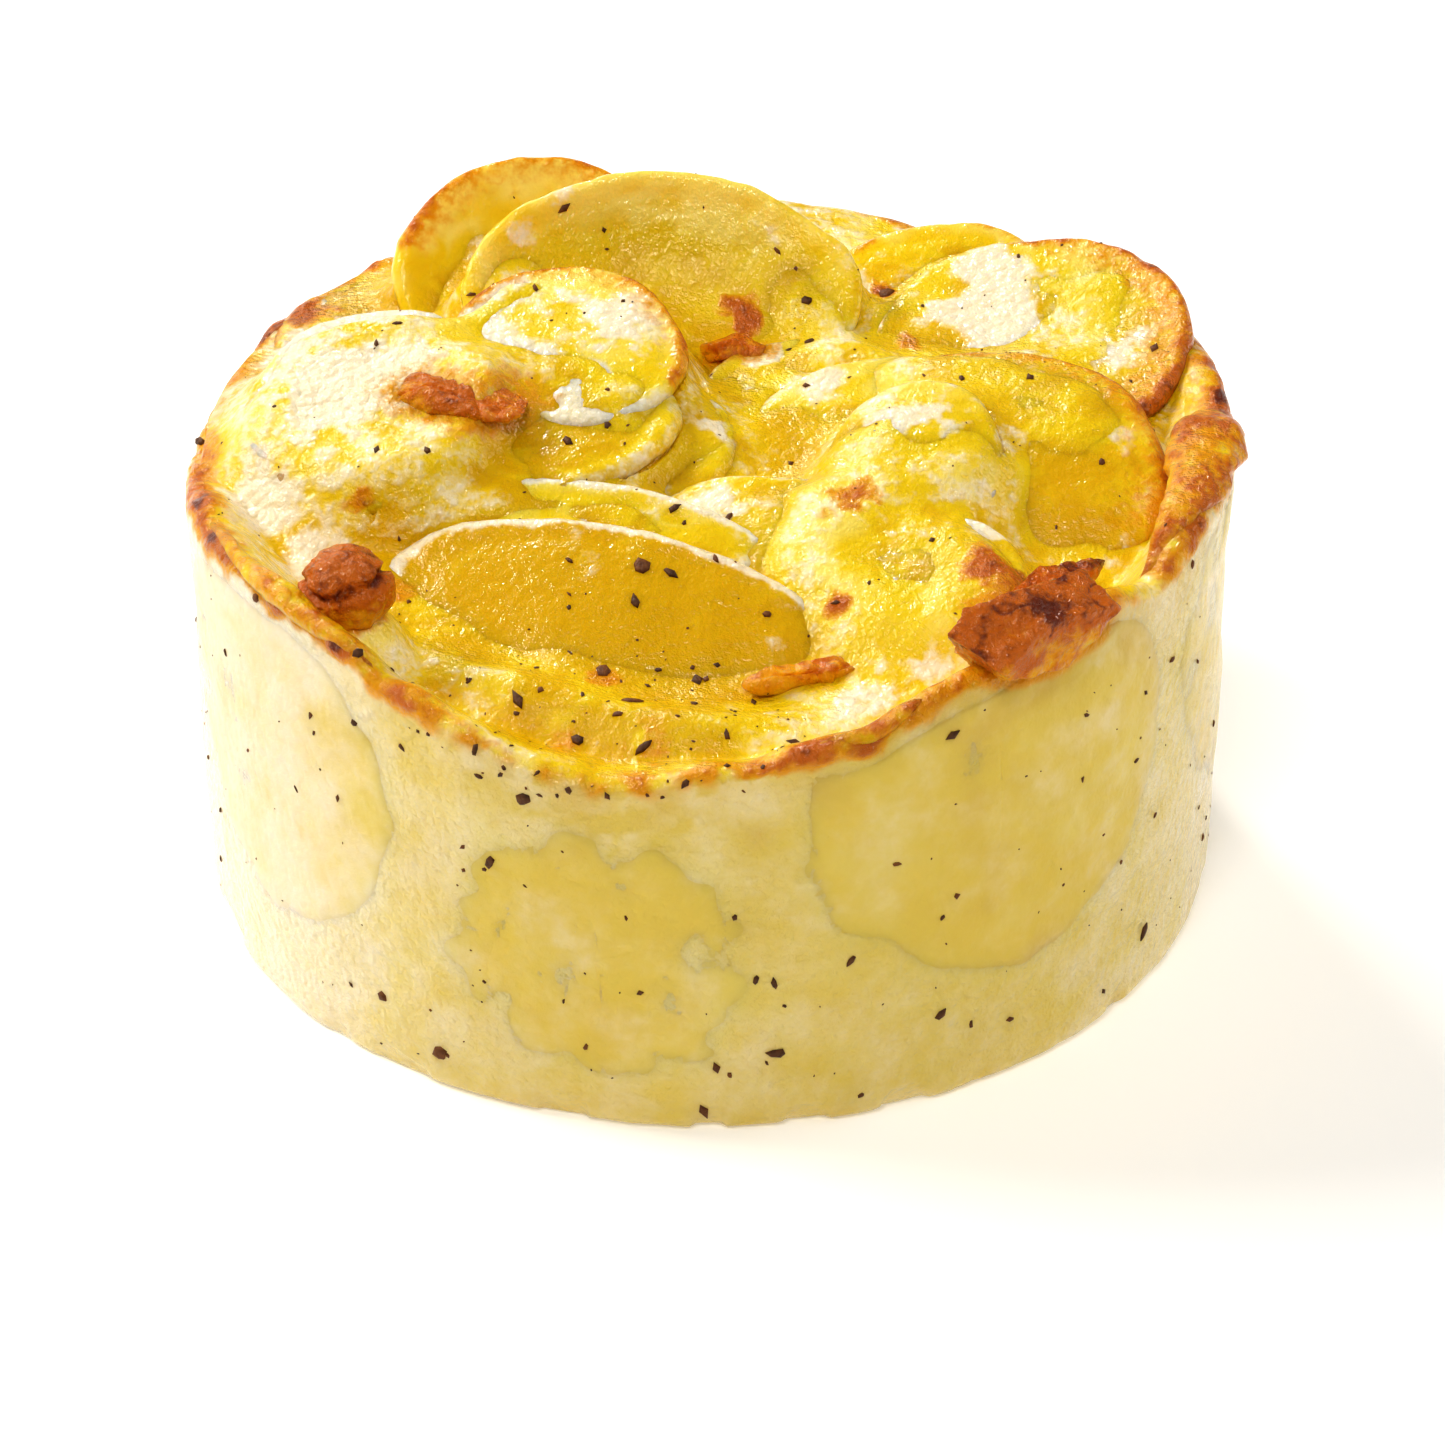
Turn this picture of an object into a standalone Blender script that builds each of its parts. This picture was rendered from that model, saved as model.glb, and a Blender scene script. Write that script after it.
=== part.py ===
"""A single portion of potato gratin, turned out of its round mould and standing on its own base.

Thin potato slices stand against the mould's wall, and more slices lie, lean and curl over each other on top.
Baked cream and cheese hold them together, and swell into browned blisters on the rim.
"""

import math
import random
from typing import NamedTuple

import bmesh
import bpy
from mathutils import Vector, noise
from mathutils.bvhtree import BVHTree
from mathutils.geometry import delaunay_2d_cdt

MM = 0.001

# The drum that the mould shaped, in millimetres
BASE_RADIUS = 37.4
RIM_RADIUS = 38.3
RIM_LEVEL = 33.0
FOOT_ROUND = 1.0
RIM_WIDTH = 6.5
RIM_FLAT = 1.2
RIM_LIP = 0.7

# The baked cream between the slices: its level at the middle, and how it falls towards the front
FLOOR_LEVEL = 33.3
FLOOR_FALL = 0.165
FLOOR_RISE = 0.035
FLOOR_SWELL = 0.5
SWELL_SIZE = 9.0

# A potato slice, and the gap that it keeps from the pieces under it
SLICE_THICKNESS = 2.0
SLICE_WOBBLE = 0.035
CUTTER_GROWTH = 0.36
SLICE_SEGMENTS = 22
SLICE_RINGS = ((0.62, 1.0), (1.0, 0.55), (1.0, -0.55), (0.62, -1.0))
WALL_SEGMENTS = 64
RIM_RINGS = ((0.9, 64, 0.0), (2.6, 64, 0.5), (4.8, 56, 0.0))
TOP_GRID = 3.0
DISSOLVE_DEGREES = 2.0
SHARP_DEGREES = 26

# Browned blisters and ridges: how finely they are divided, their bumps, and how deep a ridge sits in the rim
LARGE_CRAG = 2.5
CRAG_BUMPS = ((1.7, 1.0), (4.1, 0.5))
RIDGE_SIDES = 6
RIDGE_STEP = 2.4
RIDGE_SWELL = 0.25
RIDGE_SUNK = 0.2

# A wall slice is a part of the drum itself: the shape that cuts it out stands so far out of the wall
PRISM_OUT = 1.6

# How the cream holds up a slice: close under its middle, and lower towards its edge
PROP_GAP = 0.45
PROP_FALL = 2.6
PROP_FROM = 0.62
PROP_TO = 1.04
MOUND_FROM = 0.5
MOUND_TO = 1.9
MOUND_FALL = 4.0

# Flakes of cracked pepper
FLAKE_SIZE = 0.6
FLAKES_ON_SIDE = 16
FLAKES_ON_TOP = 14
FLAKE_CLEAR = 1.1
FLAKE_SEED = 11
FLAKE_HEIGHT = 0.5
FLAKE_DEPTH = 0.7
GOLDEN_ANGLE = 137.508
ABOVE = 60
BESIDE = 20

CREAM = ("baked_cream", (0.88, 0.72, 0.36), 0.42)
POTATO = ("potato", (0.93, 0.72, 0.20), 0.38)
BROWNED = ("browned_potato", (0.85, 0.55, 0.15), 0.42)


class Slice(NamedTuple):
    """A slice on the top: it rises towards a compass direction, 0 to the back and 90 to the right."""

    name: str
    centre: tuple
    rises_to: float
    tilt: float
    half: tuple
    bend: tuple
    turn: float = 0.0
    finish: tuple = POTATO


class WallSlice(NamedTuple):
    """A slice that stands against the mould's wall. Its azimuth is 0 at the front and 90 at the right."""

    name: str
    azimuth: float
    level: float
    half: tuple
    finish: tuple = CREAM


# In the order in which they lie on each other, the uppermost first. Lengths are in millimetres.
TOP_SLICES = (
    Slice("slice_front", (-4.9, -22.2, 29.4), 6, 30, (20.2, 9.8), (-2.8, -1.0), -17),
    Slice("slice_front_second", (-6.8, -16.7, 30.3), 6, 30, (19.8, 9.8), (-2.8, -1.0), -13),
    Slice("slice_left_top", (-24.0, 0.4, 37.0), 20, 14, (9.4, 10.8), (-0.6, -0.8)),
    Slice("slice_left_middle", (-10.3, 6.4, 38.5), 10, 14, (8.8, 9.0), (-0.5, -0.8)),
    Slice("slice_left_under", (-15.2, -1.2, 35.8), 15, 13, (13.0, 8.4), (-0.6, -0.8), 27),
    Slice("slice_left_low", (-10.6, 0.8, 34.0), 15, 11, (12.8, 9.4), (-0.6, -0.8), 12),
    Slice("slice_front_third", (6.0, -13.6, 32.2), 20, 20, (12.0, 8.0), (-1.2, -1.0)),
    Slice("slice_right_front", (14.5, -6.6, 35.9), 20, 26, (6.6, 8.4), (-1.6, -2.0)),
    Slice("slice_right_dome", (20.2, -2.6, 35.0), 30, 21, (14.0, 10.8), (-2.2, -2.0)),
    Slice("slice_right_low", (15.0, -17.4, 33.2), 40, 14, (8.4, 7.0), (-1.4, -1.2)),
    Slice("slice_right_under", (15.4, 0.8, 34.0), 0, 14, (12.4, 9.4), (-1.0, -1.0)),
    Slice("slice_centre", (8.6, 7.4, 33.8), 0, 6, (8.8, 7.0), (-0.3, -0.3)),
    Slice("slice_back_middle", (-3.6, 18.6, 35.8), -5, 42, (14.8, 9.4), (2.6, 2.2)),
    Slice("slice_back_left", (-12.2, 22.4, 35.7), -18, 46, (11.6, 9.4), (0.6, 1.0), 0, BROWNED),
    Slice("slice_back_right", (24.4, 12.6, 34.8), 40, 12, (12.4, 11.8), (0.5, 1.0)),
    Slice("slice_back_right_inner", (17.6, 19.0, 33.2), 12, 14, (10.6, 10.4), (0.5, 1.0)),
    Slice("slice_back_left_low", (-23.6, 17.0, 33.9), -60, 2, (9.6, 8.4), (-0.6, -0.8)),
    Slice("slice_back", (1.5, 28.4, 32.2), 170, 4, (11.0, 6.4), (-0.6, -0.4)),
)

WALL_SLICES = (
    WallSlice("wall_slice_left", -57, 22.0, (16.0, 15.5)),
    WallSlice("wall_slice_right_front", 32.0, 25.4, (17.4, 17.8)),
    WallSlice("wall_slice_front", -12, 14.0, (13.0, 12.5)),
    WallSlice("wall_slice_right", 81, 26.0, (14.5, 18.0), BROWNED),
    WallSlice("wall_slice_back_right", 127, 22.0, (16.0, 16.5)),
    WallSlice("wall_slice_back", 173, 20.0, (15.0, 16.0)),
    WallSlice("wall_slice_back_left", -141, 24.0, (15.0, 16.5)),
    WallSlice("wall_slice_far_left", -99, 19.0, (12.5, 15.0)),
)

# Height of the rim, and how far the wall stands out of true round, against the angle round the drum
RIM_HEIGHTS = (
    (-180, 32.5), (-165, 33.5), (-150, 35.0), (-138, 34.2), (-125, 33.4), (-110, 32.4), (-95, 32.4),
    (-84, 33.2), (-75, 34.8), (-58, 35.5), (-42, 34.3), (-34, 32.5), (-27, 30.9), (-19, 29.5), (-10, 28.9),
    (0, 29.7), (15, 31.7), (27, 34.4), (40, 36.4), (48, 36.2), (56, 34.2), (66, 37.0), (82, 37.3),
    (95, 36.4), (115, 36.4), (128, 36.8), (138, 35.4), (146, 33.6), (154, 32.4), (163, 30.8), (172, 31.6),
    (180, 32.5),
)
OUT_OF_ROUND = (
    (-180, 0.0), (-130, -0.3), (-90, -0.6), (-50, 0.3), (-20, 0.5), (10, 0.4), (60, 0.0), (90, -0.2),
    (180, 0.0),
)


class Crag(NamedTuple):
    """A browned blister of cheese: centre and half sizes in millimetres, its turn and its roughness."""

    centre: tuple
    half: tuple
    turn: float
    rough: float
    owner: str


BODY = "gratin_body"
CRAGS = (
    Crag((-25.2, -22.6, 35.2), (3.2, 3.0, 3.1), 0, 0.16, BODY),
    Crag((22.4, -29.4, 36.2), (6.0, 3.6, 3.0), 36, 0.30, "wall_slice_right_front"),
    Crag((-17.2, -1.2, 38.4), (5.0, 2.9, 1.4), -12, 0.30, "slice_left_top"),
    Crag((2.4, 12.8, 35.0), (2.2, 1.5, 1.3), 0, 0.25, BODY),
    Crag((23.0, -20.6, 33.8), (4.4, 2.0, 1.6), 30, 0.30, BODY),
    Crag((6.8, -25.6, 29.9), (3.8, 1.3, 1.0), 12, 0.30, BODY),
)


# The larger flakes on the top: where they lie in the plan, and their half sizes
TOP_FLAKES = (
    (-8.0, -29.0, 0.8), (-5.8, -30.2, 0.75), (-0.8, -29.2, 0.8), (-4.8, -24.0, 0.6), (-3.0, -23.6, 0.6),
    (-5.2, -26.4, 0.55), (13.4, 15.5, 0.8), (-10.0, 24.6, 0.6), (2.6, -19.0, 0.55),
)


class Ridge(NamedTuple):
    """A crisp browned ridge along the rim: its span round the drum, its inset, its size and its owner."""

    start: float
    end: float
    inset: float
    half_width: float
    half_height: float
    owner: str


RIDGES = (
    Ridge(60, 98, 2.2, 2.1, 1.5, "wall_slice_right"),
    Ridge(-78, -36, 1.0, 0.9, 0.7, "wall_slice_left"),
    Ridge(9, 24, 1.0, 0.9, 0.7, BODY),
    Ridge(112, 146, 1.3, 1.2, 0.8, "wall_slice_back_right"),
    Ridge(-132, -112, 1.4, 1.4, 1.0, "wall_slice_back_left"),
)


def smooth_step(low, high, value):
    """0 below low, 1 above high, and a smooth rise between."""
    t = min(1.0, max(0.0, (value - low) / (high - low)))
    return t * t * (3 - 2 * t)


def listed(values, azimuth):
    """The value at an angle round the drum, eased between the listed ones."""
    azimuth = (azimuth + 180) % 360 - 180
    for (a, low), (b, high) in zip(values, values[1:]):
        if a <= azimuth <= b:
            return low + (high - low) * smooth_step(a, b, azimuth)
    return values[0][1]


def rim_height(azimuth):
    return listed(RIM_HEIGHTS, azimuth)


def wall_radius(azimuth, z):
    """Radius of the wall at an angle and a height: the mould opens a little towards its top."""
    return BASE_RADIUS + (RIM_RADIUS - BASE_RADIUS) * z / RIM_LEVEL + listed(OUT_OF_ROUND, azimuth)


def on_wall(azimuth, z, outwards):
    """The point at an angle round the drum and a height, so far out of its wall."""
    radius = wall_radius(azimuth, z) + outwards
    angle = math.radians(azimuth)
    return Vector((radius * math.sin(angle), -radius * math.cos(angle), z))


def outline(angle):
    """How far a slice's uneven edge lies from its centre at an angle, against a true ellipse."""
    waves = math.cos(2 * angle + 1) + 0.6 * math.cos(3 * angle + 2) + 0.3 * math.cos(5 * angle)
    return 1 + SLICE_WOBBLE * waves


def slice_axes(piece):
    """The slice's own directions: across, up its slope, and out of its upper face."""
    rise, tilt = math.radians(piece.rises_to), math.radians(piece.tilt)
    heading = Vector((math.sin(rise), math.cos(rise), 0))
    up = Vector((0, 0, 1))
    across = Vector((math.cos(rise), -math.sin(rise), 0))
    along = heading * math.cos(tilt) + up * math.sin(tilt)
    return across, along, up * math.cos(tilt) - heading * math.sin(tilt)


def slice_point(piece, angle, share, height, grow=0.0):
    """A point of a top slice: angle, share of the way to the edge, and height over the middle layer."""
    across, along, out = slice_axes(piece)
    turn = math.radians(piece.turn)
    reach = share * outline(angle)
    x, y = reach * math.cos(angle), reach * math.sin(angle)
    u, v = x * (piece.half[0] + grow), y * (piece.half[1] + grow)
    bend = piece.bend[0] * x * x + piece.bend[1] * y * y
    return (
        Vector(piece.centre)
        + across * (u * math.cos(turn) - v * math.sin(turn))
        + along * (u * math.sin(turn) + v * math.cos(turn))
        + out * (bend + height)
    )


def wall_slice_point(piece, angle, share, outwards, grow=0.0):
    """A point of the shape that cuts a wall slice out of the drum."""
    reach = share * outline(angle)
    u = reach * math.cos(angle) * (piece.half[0] + grow)
    z = piece.level + reach * math.sin(angle) * (piece.half[1] + grow)
    return on_wall(piece.azimuth + math.degrees(u / RIM_RADIUS), z, outwards)


def link_mesh(name, build, finish):
    """A new object from a bmesh that is in millimetres, with its faces turned out and its own material."""
    bmesh.ops.scale(build, vec=(MM, MM, MM), verts=build.verts)
    bmesh.ops.recalc_face_normals(build, faces=build.faces)
    mesh = bpy.data.meshes.new(name)
    build.to_mesh(mesh)
    build.free()
    mesh.materials.append(material(f"{name}_{finish[0]}", finish))
    piece = bpy.data.objects.new(name, mesh)
    bpy.context.scene.collection.objects.link(piece)
    return piece


def material(name, finish):
    made = bpy.data.materials.new(name)
    made.use_nodes = True
    shader = made.node_tree.nodes["Principled BSDF"]
    shader.inputs["Base Color"].default_value = (*finish[1], 1)
    shader.inputs["Roughness"].default_value = finish[2]
    shader.inputs["Metallic"].default_value = 0.0
    return made


def slice_mesh(piece, grow=0.0):
    """A closed disc, as a bmesh: a slice of the top, or the shape that cuts a wall slice out of the drum."""
    if isinstance(piece, Slice):
        half = SLICE_THICKNESS / 2 + grow
        place, layers = slice_point, [(share, height * half) for share, height in SLICE_RINGS]
        faces = (half, -half)
    else:
        faces = (PRISM_OUT, -SLICE_THICKNESS - grow)
        place, layers = wall_slice_point, [(1.0, faces[0]), (1.0, faces[1])]
    angles = [math.tau * k / SLICE_SEGMENTS for k in range(SLICE_SEGMENTS)]
    build = bmesh.new()
    rings = []
    for share, height in layers:
        rings.append([build.verts.new(place(piece, angle, share, height, grow)) for angle in angles])
    join_rings(build, rings)
    for ring, height in ((rings[0], faces[0]), (rings[-1], faces[1])):
        close_ring(build, ring, place(piece, 0.0, 0.0, height, grow))
    return build


def join_rings(build, rings):
    """Faces between each ring of vertices and the next."""
    for ring, following in zip(rings, rings[1:]):
        for k in range(len(ring)):
            build.faces.new((ring[k - 1], ring[k], following[k], following[k - 1]))


def close_ring(build, ring, tip):
    """A fan of triangles from a ring of vertices to a point."""
    middle = build.verts.new(tip)
    for k in range(len(ring)):
        build.faces.new((ring[k - 1], ring[k], middle))


def underside(piece, x, y):
    """(height of the slice's lower face over a point of the plan, share of the way to the edge there)."""
    rise, tilt, turn = (math.radians(a) for a in (piece.rises_to, piece.tilt, piece.turn))
    dx, dy = x - piece.centre[0], y - piece.centre[1]
    across = dx * math.cos(rise) - dy * math.sin(rise)
    ahead = dx * math.sin(rise) + dy * math.cos(rise)
    layer = -SLICE_THICKNESS / 2
    for _ in range(4):
        along = (ahead + layer * math.sin(tilt)) / math.cos(tilt)
        p = (across * math.cos(turn) + along * math.sin(turn)) / piece.half[0]
        q = (along * math.cos(turn) - across * math.sin(turn)) / piece.half[1]
        layer = piece.bend[0] * min(1, p * p) + piece.bend[1] * min(1, q * q) - SLICE_THICKNESS / 2
    share = math.hypot(p, q) / outline(math.atan2(q, p))
    return piece.centre[2] + along * math.sin(tilt) + layer * math.cos(tilt), share


def cream_height(x, y):
    """Height of the baked cream over the plan: a floor, the rim round it, and what props up the slices."""
    radius = math.hypot(x, y)
    azimuth = math.degrees(math.atan2(x, -y))
    floor = FLOOR_LEVEL + y * (FLOOR_RISE if y > 0 else FLOOR_FALL)
    floor += FLOOR_SWELL * noise.noise(Vector((x, y, 0)) / SWELL_SIZE)
    edge = RIM_RADIUS + listed(OUT_OF_ROUND, azimuth) - radius
    rim = rim_height(azimuth) - RIM_LIP * smooth_step(RIM_LIP, 0, edge)
    height = floor + (rim - floor) * smooth_step(RIM_WIDTH, RIM_FLAT, edge)
    for piece in TOP_SLICES:
        under, share = underside(piece, x, y)
        if share < PROP_TO:
            height = max(height, under - PROP_GAP - PROP_FALL * smooth_step(PROP_FROM, PROP_TO, share))
    for crag in CRAGS:
        share = math.hypot(x - crag.centre[0], y - crag.centre[1]) / max(crag.half)
        if crag.owner == BODY and share < MOUND_TO:
            foot = crag.centre[2] - MOUND_FROM * crag.half[2]
            height = max(height, foot - MOUND_FALL * smooth_step(MOUND_FROM, MOUND_TO, share))
    return height


def body_mesh():
    """The drum: a flat base, a rounded foot, a wall that opens upwards and an uneven top."""
    rim = []
    for k in range(WALL_SEGMENTS):
        azimuth = 360 * k / WALL_SEGMENTS
        rim.append(on_wall(azimuth, rim_height(azimuth) - RIM_LIP, 0))
    plan = [Vector((p.x, p.y)) for p in rim]
    for inset, count, offset in RIM_RINGS:
        for k in range(count):
            azimuth = 360 * (k + offset) / count
            point = on_wall(azimuth, RIM_LEVEL, -inset)
            plan.append(Vector((point.x, point.y)))
    reach = RIM_RADIUS - RIM_RINGS[-1][0] - TOP_GRID / 2
    row_step = TOP_GRID * math.sqrt(3) / 2
    rows = int(reach / row_step)
    for row in range(-rows, rows + 1):
        for column in range(-rows - 2, rows + 3):
            point = Vector(((column + 0.5 * (row % 2)) * TOP_GRID, row * row_step))
            if point.length < reach:
                plan.append(point)
    edges = [(k, (k + 1) % WALL_SEGMENTS) for k in range(WALL_SEGMENTS)]
    points, _, faces = delaunay_2d_cdt(plan, edges, [], 0, 1e-6)[:3]

    build = bmesh.new()
    top = []
    for k, point in enumerate(points):
        z = rim[k].z if k < WALL_SEGMENTS else cream_height(*point)
        top.append(build.verts.new((*point, z)))
    for face in faces:
        build.faces.new([top[k] for k in face])
    rings = [top[:WALL_SEGMENTS]]
    azimuths = [360 * k / WALL_SEGMENTS for k in range(WALL_SEGMENTS)]
    for share in (0.66, 0.33):
        rings.append([build.verts.new(on_wall(a, rim[k].z * share, 0)) for k, a in enumerate(azimuths)])
    for degrees in (0, 30, 60, 90):
        angle = math.radians(degrees)
        inwards, z = FOOT_ROUND * (1 - math.cos(angle)), FOOT_ROUND * (1 - math.sin(angle))
        rings.append([build.verts.new(on_wall(a, z, -inwards)) for a in azimuths])
    join_rings(build, rings)
    build.faces.new(rings[-1])
    return build


def crag_mesh(crag, seed, grow=0.0):
    """A rough lump: a sphere that noise has pushed in and out."""
    build = bmesh.new()
    bmesh.ops.create_icosphere(build, subdivisions=3 if crag.half[2] > LARGE_CRAG else 2, radius=1)
    turn = math.radians(crag.turn)
    for vert in build.verts:
        push = 1
        for detail, strength in CRAG_BUMPS:
            push += crag.rough * strength * noise.noise(vert.co * detail + Vector((seed, 0, 0)))
        p = vert.co * push
        x, y, z = (p[k] * (crag.half[k] + grow) for k in range(3))
        vert.co = Vector(crag.centre) + Vector((x * math.cos(turn) - y * math.sin(turn),
                                                x * math.sin(turn) + y * math.cos(turn), z))
    return build


def ridge_mesh(ridge, seed, grow=0.0):
    """A wavy tube with pointed ends that follows the rim."""
    build = bmesh.new()
    steps = max(6, round(math.radians(ridge.end - ridge.start) * RIM_RADIUS / RIDGE_STEP))
    rings = []
    for step in range(1, steps):
        share = step / steps
        azimuth = ridge.start + (ridge.end - ridge.start) * share
        uneven = 1 + RIDGE_SWELL * noise.noise(Vector((azimuth * 0.11, seed, 0)))
        swell = uneven * math.sin(math.pi * share) ** 0.5
        ring = []
        for side in range(RIDGE_SIDES):
            angle = math.tau * side / RIDGE_SIDES
            outwards = -ridge.inset + (ridge.half_width * swell + grow) * math.cos(angle)
            z = rim_height(azimuth) - RIDGE_SUNK + (ridge.half_height * swell + grow) * math.sin(angle)
            ring.append(build.verts.new(on_wall(azimuth, z, outwards)))
        rings.append(ring)
    join_rings(build, rings)
    beyond = math.degrees(grow / RIM_RADIUS)
    for ring, azimuth in ((rings[0], ridge.start - beyond), (rings[-1], ridge.end + beyond)):
        close_ring(build, ring, on_wall(azimuth, rim_height(azimuth) - RIDGE_SUNK, -ridge.inset))
    return build


def flake_mesh(centre, out, size, rng):
    """A flat angular flake of pepper, half sunk in what it lies on."""
    build = bmesh.new()
    side = out.orthogonal().normalized()
    other = out.cross(side)
    spin = rng.uniform(0, math.tau)
    corners = []
    for k in range(5):
        angle = spin + math.tau * k / 5
        reach = size * rng.uniform(0.75, 1.15) * (1.25 if k % 2 else 0.85)
        aside = side * reach * math.cos(angle) + other * reach * math.sin(angle)
        corners.append(build.verts.new(centre + aside))
    close_ring(build, corners, centre + out * size * FLAKE_HEIGHT)
    close_ring(build, corners, centre - out * size * FLAKE_DEPTH)
    return build


def landing(trees, start, towards):
    """(owner's name, point, outward direction) of the first piece that a straight line meets."""
    found = None
    for name, tree in trees.items():
        point, out, _, distance = tree.ray_cast(start * MM, towards)
        if point is not None and (found is None or distance < found[3]):
            found = (name, point / MM, out, distance)
    return found[:3] if found else None


def clear_landing(trees, start, towards):
    """Where a flake can lie: the same piece lies all round it, without a step. None elsewhere."""
    found = landing(trees, start, towards)
    if found is None:
        return None
    side = towards.orthogonal().normalized()
    other = towards.cross(side)
    for k in range(8):
        angle = math.tau * k / 8
        aside = (side * math.cos(angle) + other * math.sin(angle)) * FLAKE_CLEAR
        beside = landing(trees, start + aside, towards)
        if beside is None or beside[0] != found[0] or (beside[1] - found[1]).length > FLAKE_CLEAR * 1.6:
            return None
    return found


def add_flakes(pieces):
    """Pepper on the top and round the wall: the listed flakes first, then more by a rule."""
    trees = {}
    for name, piece in pieces.items():
        points = [vert.co for vert in piece.data.vertices]
        trees[name] = BVHTree.FromPolygons(points, [face.vertices for face in piece.data.polygons])
    rng = random.Random(FLAKE_SEED)
    down = Vector((0, 0, -1))
    lines = [(Vector((x, y, ABOVE)), down, size) for x, y, size in TOP_FLAKES]
    for k in range(FLAKES_ON_TOP):
        angle, reach = math.radians(k * GOLDEN_ANGLE), 30 * math.sqrt((k + 0.5) / FLAKES_ON_TOP)
        start = Vector((reach * math.cos(angle), reach * math.sin(angle), ABOVE))
        lines.append((start, down, FLAKE_SIZE))
    for k in range(FLAKES_ON_SIDE):
        azimuth, z = k * GOLDEN_ANGLE + 20, 4 + 22 * ((k * 0.618 + 0.35) % 1)
        start = on_wall(azimuth, z, BESIDE)
        inwards = (on_wall(azimuth, z, 0) - start).normalized()
        lines.append((start, inwards, FLAKE_SIZE * rng.uniform(0.8, 1.2)))
    flakes = {}
    for start, towards, size in lines:
        found = clear_landing(trees, start, towards)
        if found is not None:
            name, point, out = found
            flake = link_mesh("flake", flake_mesh(point, out, size, rng), BROWNED)
            flakes.setdefault(name, []).append(flake)
    for name, group in flakes.items():
        combine(pieces[name], "UNION", group, "MANIFOLD")
        for flake in group:
            bpy.data.objects.remove(flake)


def combine(piece, operation, others, solver="EXACT"):
    """Applies one Boolean of the piece with all the others."""
    if not others:
        return
    tools = bpy.data.collections.new(f"{piece.name}_{operation.lower()}")
    for other in others:
        tools.objects.link(other)
    change = piece.modifiers.new(operation.title(), "BOOLEAN")
    change.operation = operation
    change.operand_type = "COLLECTION"
    change.collection = tools
    change.solver = solver
    graph = bpy.context.evaluated_depsgraph_get()
    made = bpy.data.meshes.new_from_object(piece.evaluated_get(graph))
    piece.modifiers.clear()
    made.name = piece.name
    made.materials.clear()
    made.materials.append(piece.data.materials[0])
    piece.data = made
    bpy.data.collections.remove(tools)


def tidy(piece, flatten):
    """Drops the loose scraps that a cut left, and merges the faces that are all but flat."""
    build = bmesh.new()
    build.from_mesh(piece.data)
    left, bodies = set(build.verts), []
    while left:
        found, edge_of = set(), [left.pop()]
        while edge_of:
            vert = edge_of.pop()
            found.add(vert)
            for edge in vert.link_edges:
                other = edge.other_vert(vert)
                if other in left:
                    left.discard(other)
                    edge_of.append(other)
        bodies.append(found)
    bodies.sort(key=len, reverse=True)
    scraps = [vert for body in bodies[1:] for vert in body]
    bmesh.ops.delete(build, geom=scraps, context="VERTS")
    if flatten:
        limit = math.radians(DISSOLVE_DEGREES)
        bmesh.ops.dissolve_limit(build, angle_limit=limit, verts=build.verts, edges=build.edges)
        bmesh.ops.triangulate(build, faces=build.faces)
    build.to_mesh(piece.data)
    build.free()


def shade(piece):
    """Smooth shading, with the sharp edges of the slices kept."""
    piece.data.shade_smooth()
    piece.data.set_sharp_from_angle(angle=math.radians(SHARP_DEGREES))


def bounds(piece):
    corners = [Vector(corner) for corner in piece.bound_box]
    return ([min(c[k] for c in corners) for k in range(3)], [max(c[k] for c in corners) for k in range(3)])


def near(first, second):
    """True if the two objects' boxes meet."""
    (low_a, high_a), (low_b, high_b) = bounds(first), bounds(second)
    return all(low_a[k] <= high_b[k] and low_b[k] <= high_a[k] for k in range(3))


def relief_of(owner, grow=0.0):
    """The blisters and browned ridges that belong to a piece, as bmeshes."""
    made = []
    for seed, crag in enumerate(CRAGS):
        if crag.owner == owner:
            made.append(crag_mesh(crag, seed * 3.7, grow))
    for seed, ridge in enumerate(RIDGES):
        if ridge.owner == owner:
            made.append(ridge_mesh(ridge, seed * 5.3, grow))
    return made


def build_gratin():
    specs = TOP_SLICES + WALL_SLICES
    pieces = {spec.name: link_mesh(spec.name, slice_mesh(spec), spec.finish) for spec in specs}
    pieces[BODY] = link_mesh(BODY, body_mesh(), CREAM)
    for spec in WALL_SLICES:
        combine(pieces[spec.name], "INTERSECT", [pieces[BODY]])
    for name, piece in pieces.items():
        extra = [link_mesh("relief", relief, BROWNED) for relief in relief_of(name)]
        combine(piece, "UNION", extra)
        for other in extra:
            bpy.data.objects.remove(other)

    cutters = {}
    for spec in specs:
        grown = [slice_mesh(spec, CUTTER_GROWTH)] + relief_of(spec.name, CUTTER_GROWTH)
        cutters[spec.name] = [link_mesh("cutter", solid, CREAM) for solid in grown]
    bpy.context.view_layer.update()
    order = [spec.name for spec in specs] + [BODY]
    for k, name in enumerate(order):
        tools = [cutter for upper in order[:k] for cutter in cutters[upper] if near(pieces[name], cutter)]
        combine(pieces[name], "DIFFERENCE", tools)
        tidy(pieces[name], flatten=name not in [spec.name for spec in WALL_SLICES])
    for cutter in [cutter for group in cutters.values() for cutter in group]:
        bpy.data.objects.remove(cutter)
    add_flakes(pieces)
    return pieces


def main():
    for old in list(bpy.data.objects):
        bpy.data.objects.remove(old)
    for piece in build_gratin().values():
        shade(piece)


main()
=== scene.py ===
import math
import random
from typing import NamedTuple

import bpy
import numpy as np
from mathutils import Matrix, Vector
from mathutils.bvhtree import BVHTree


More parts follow.
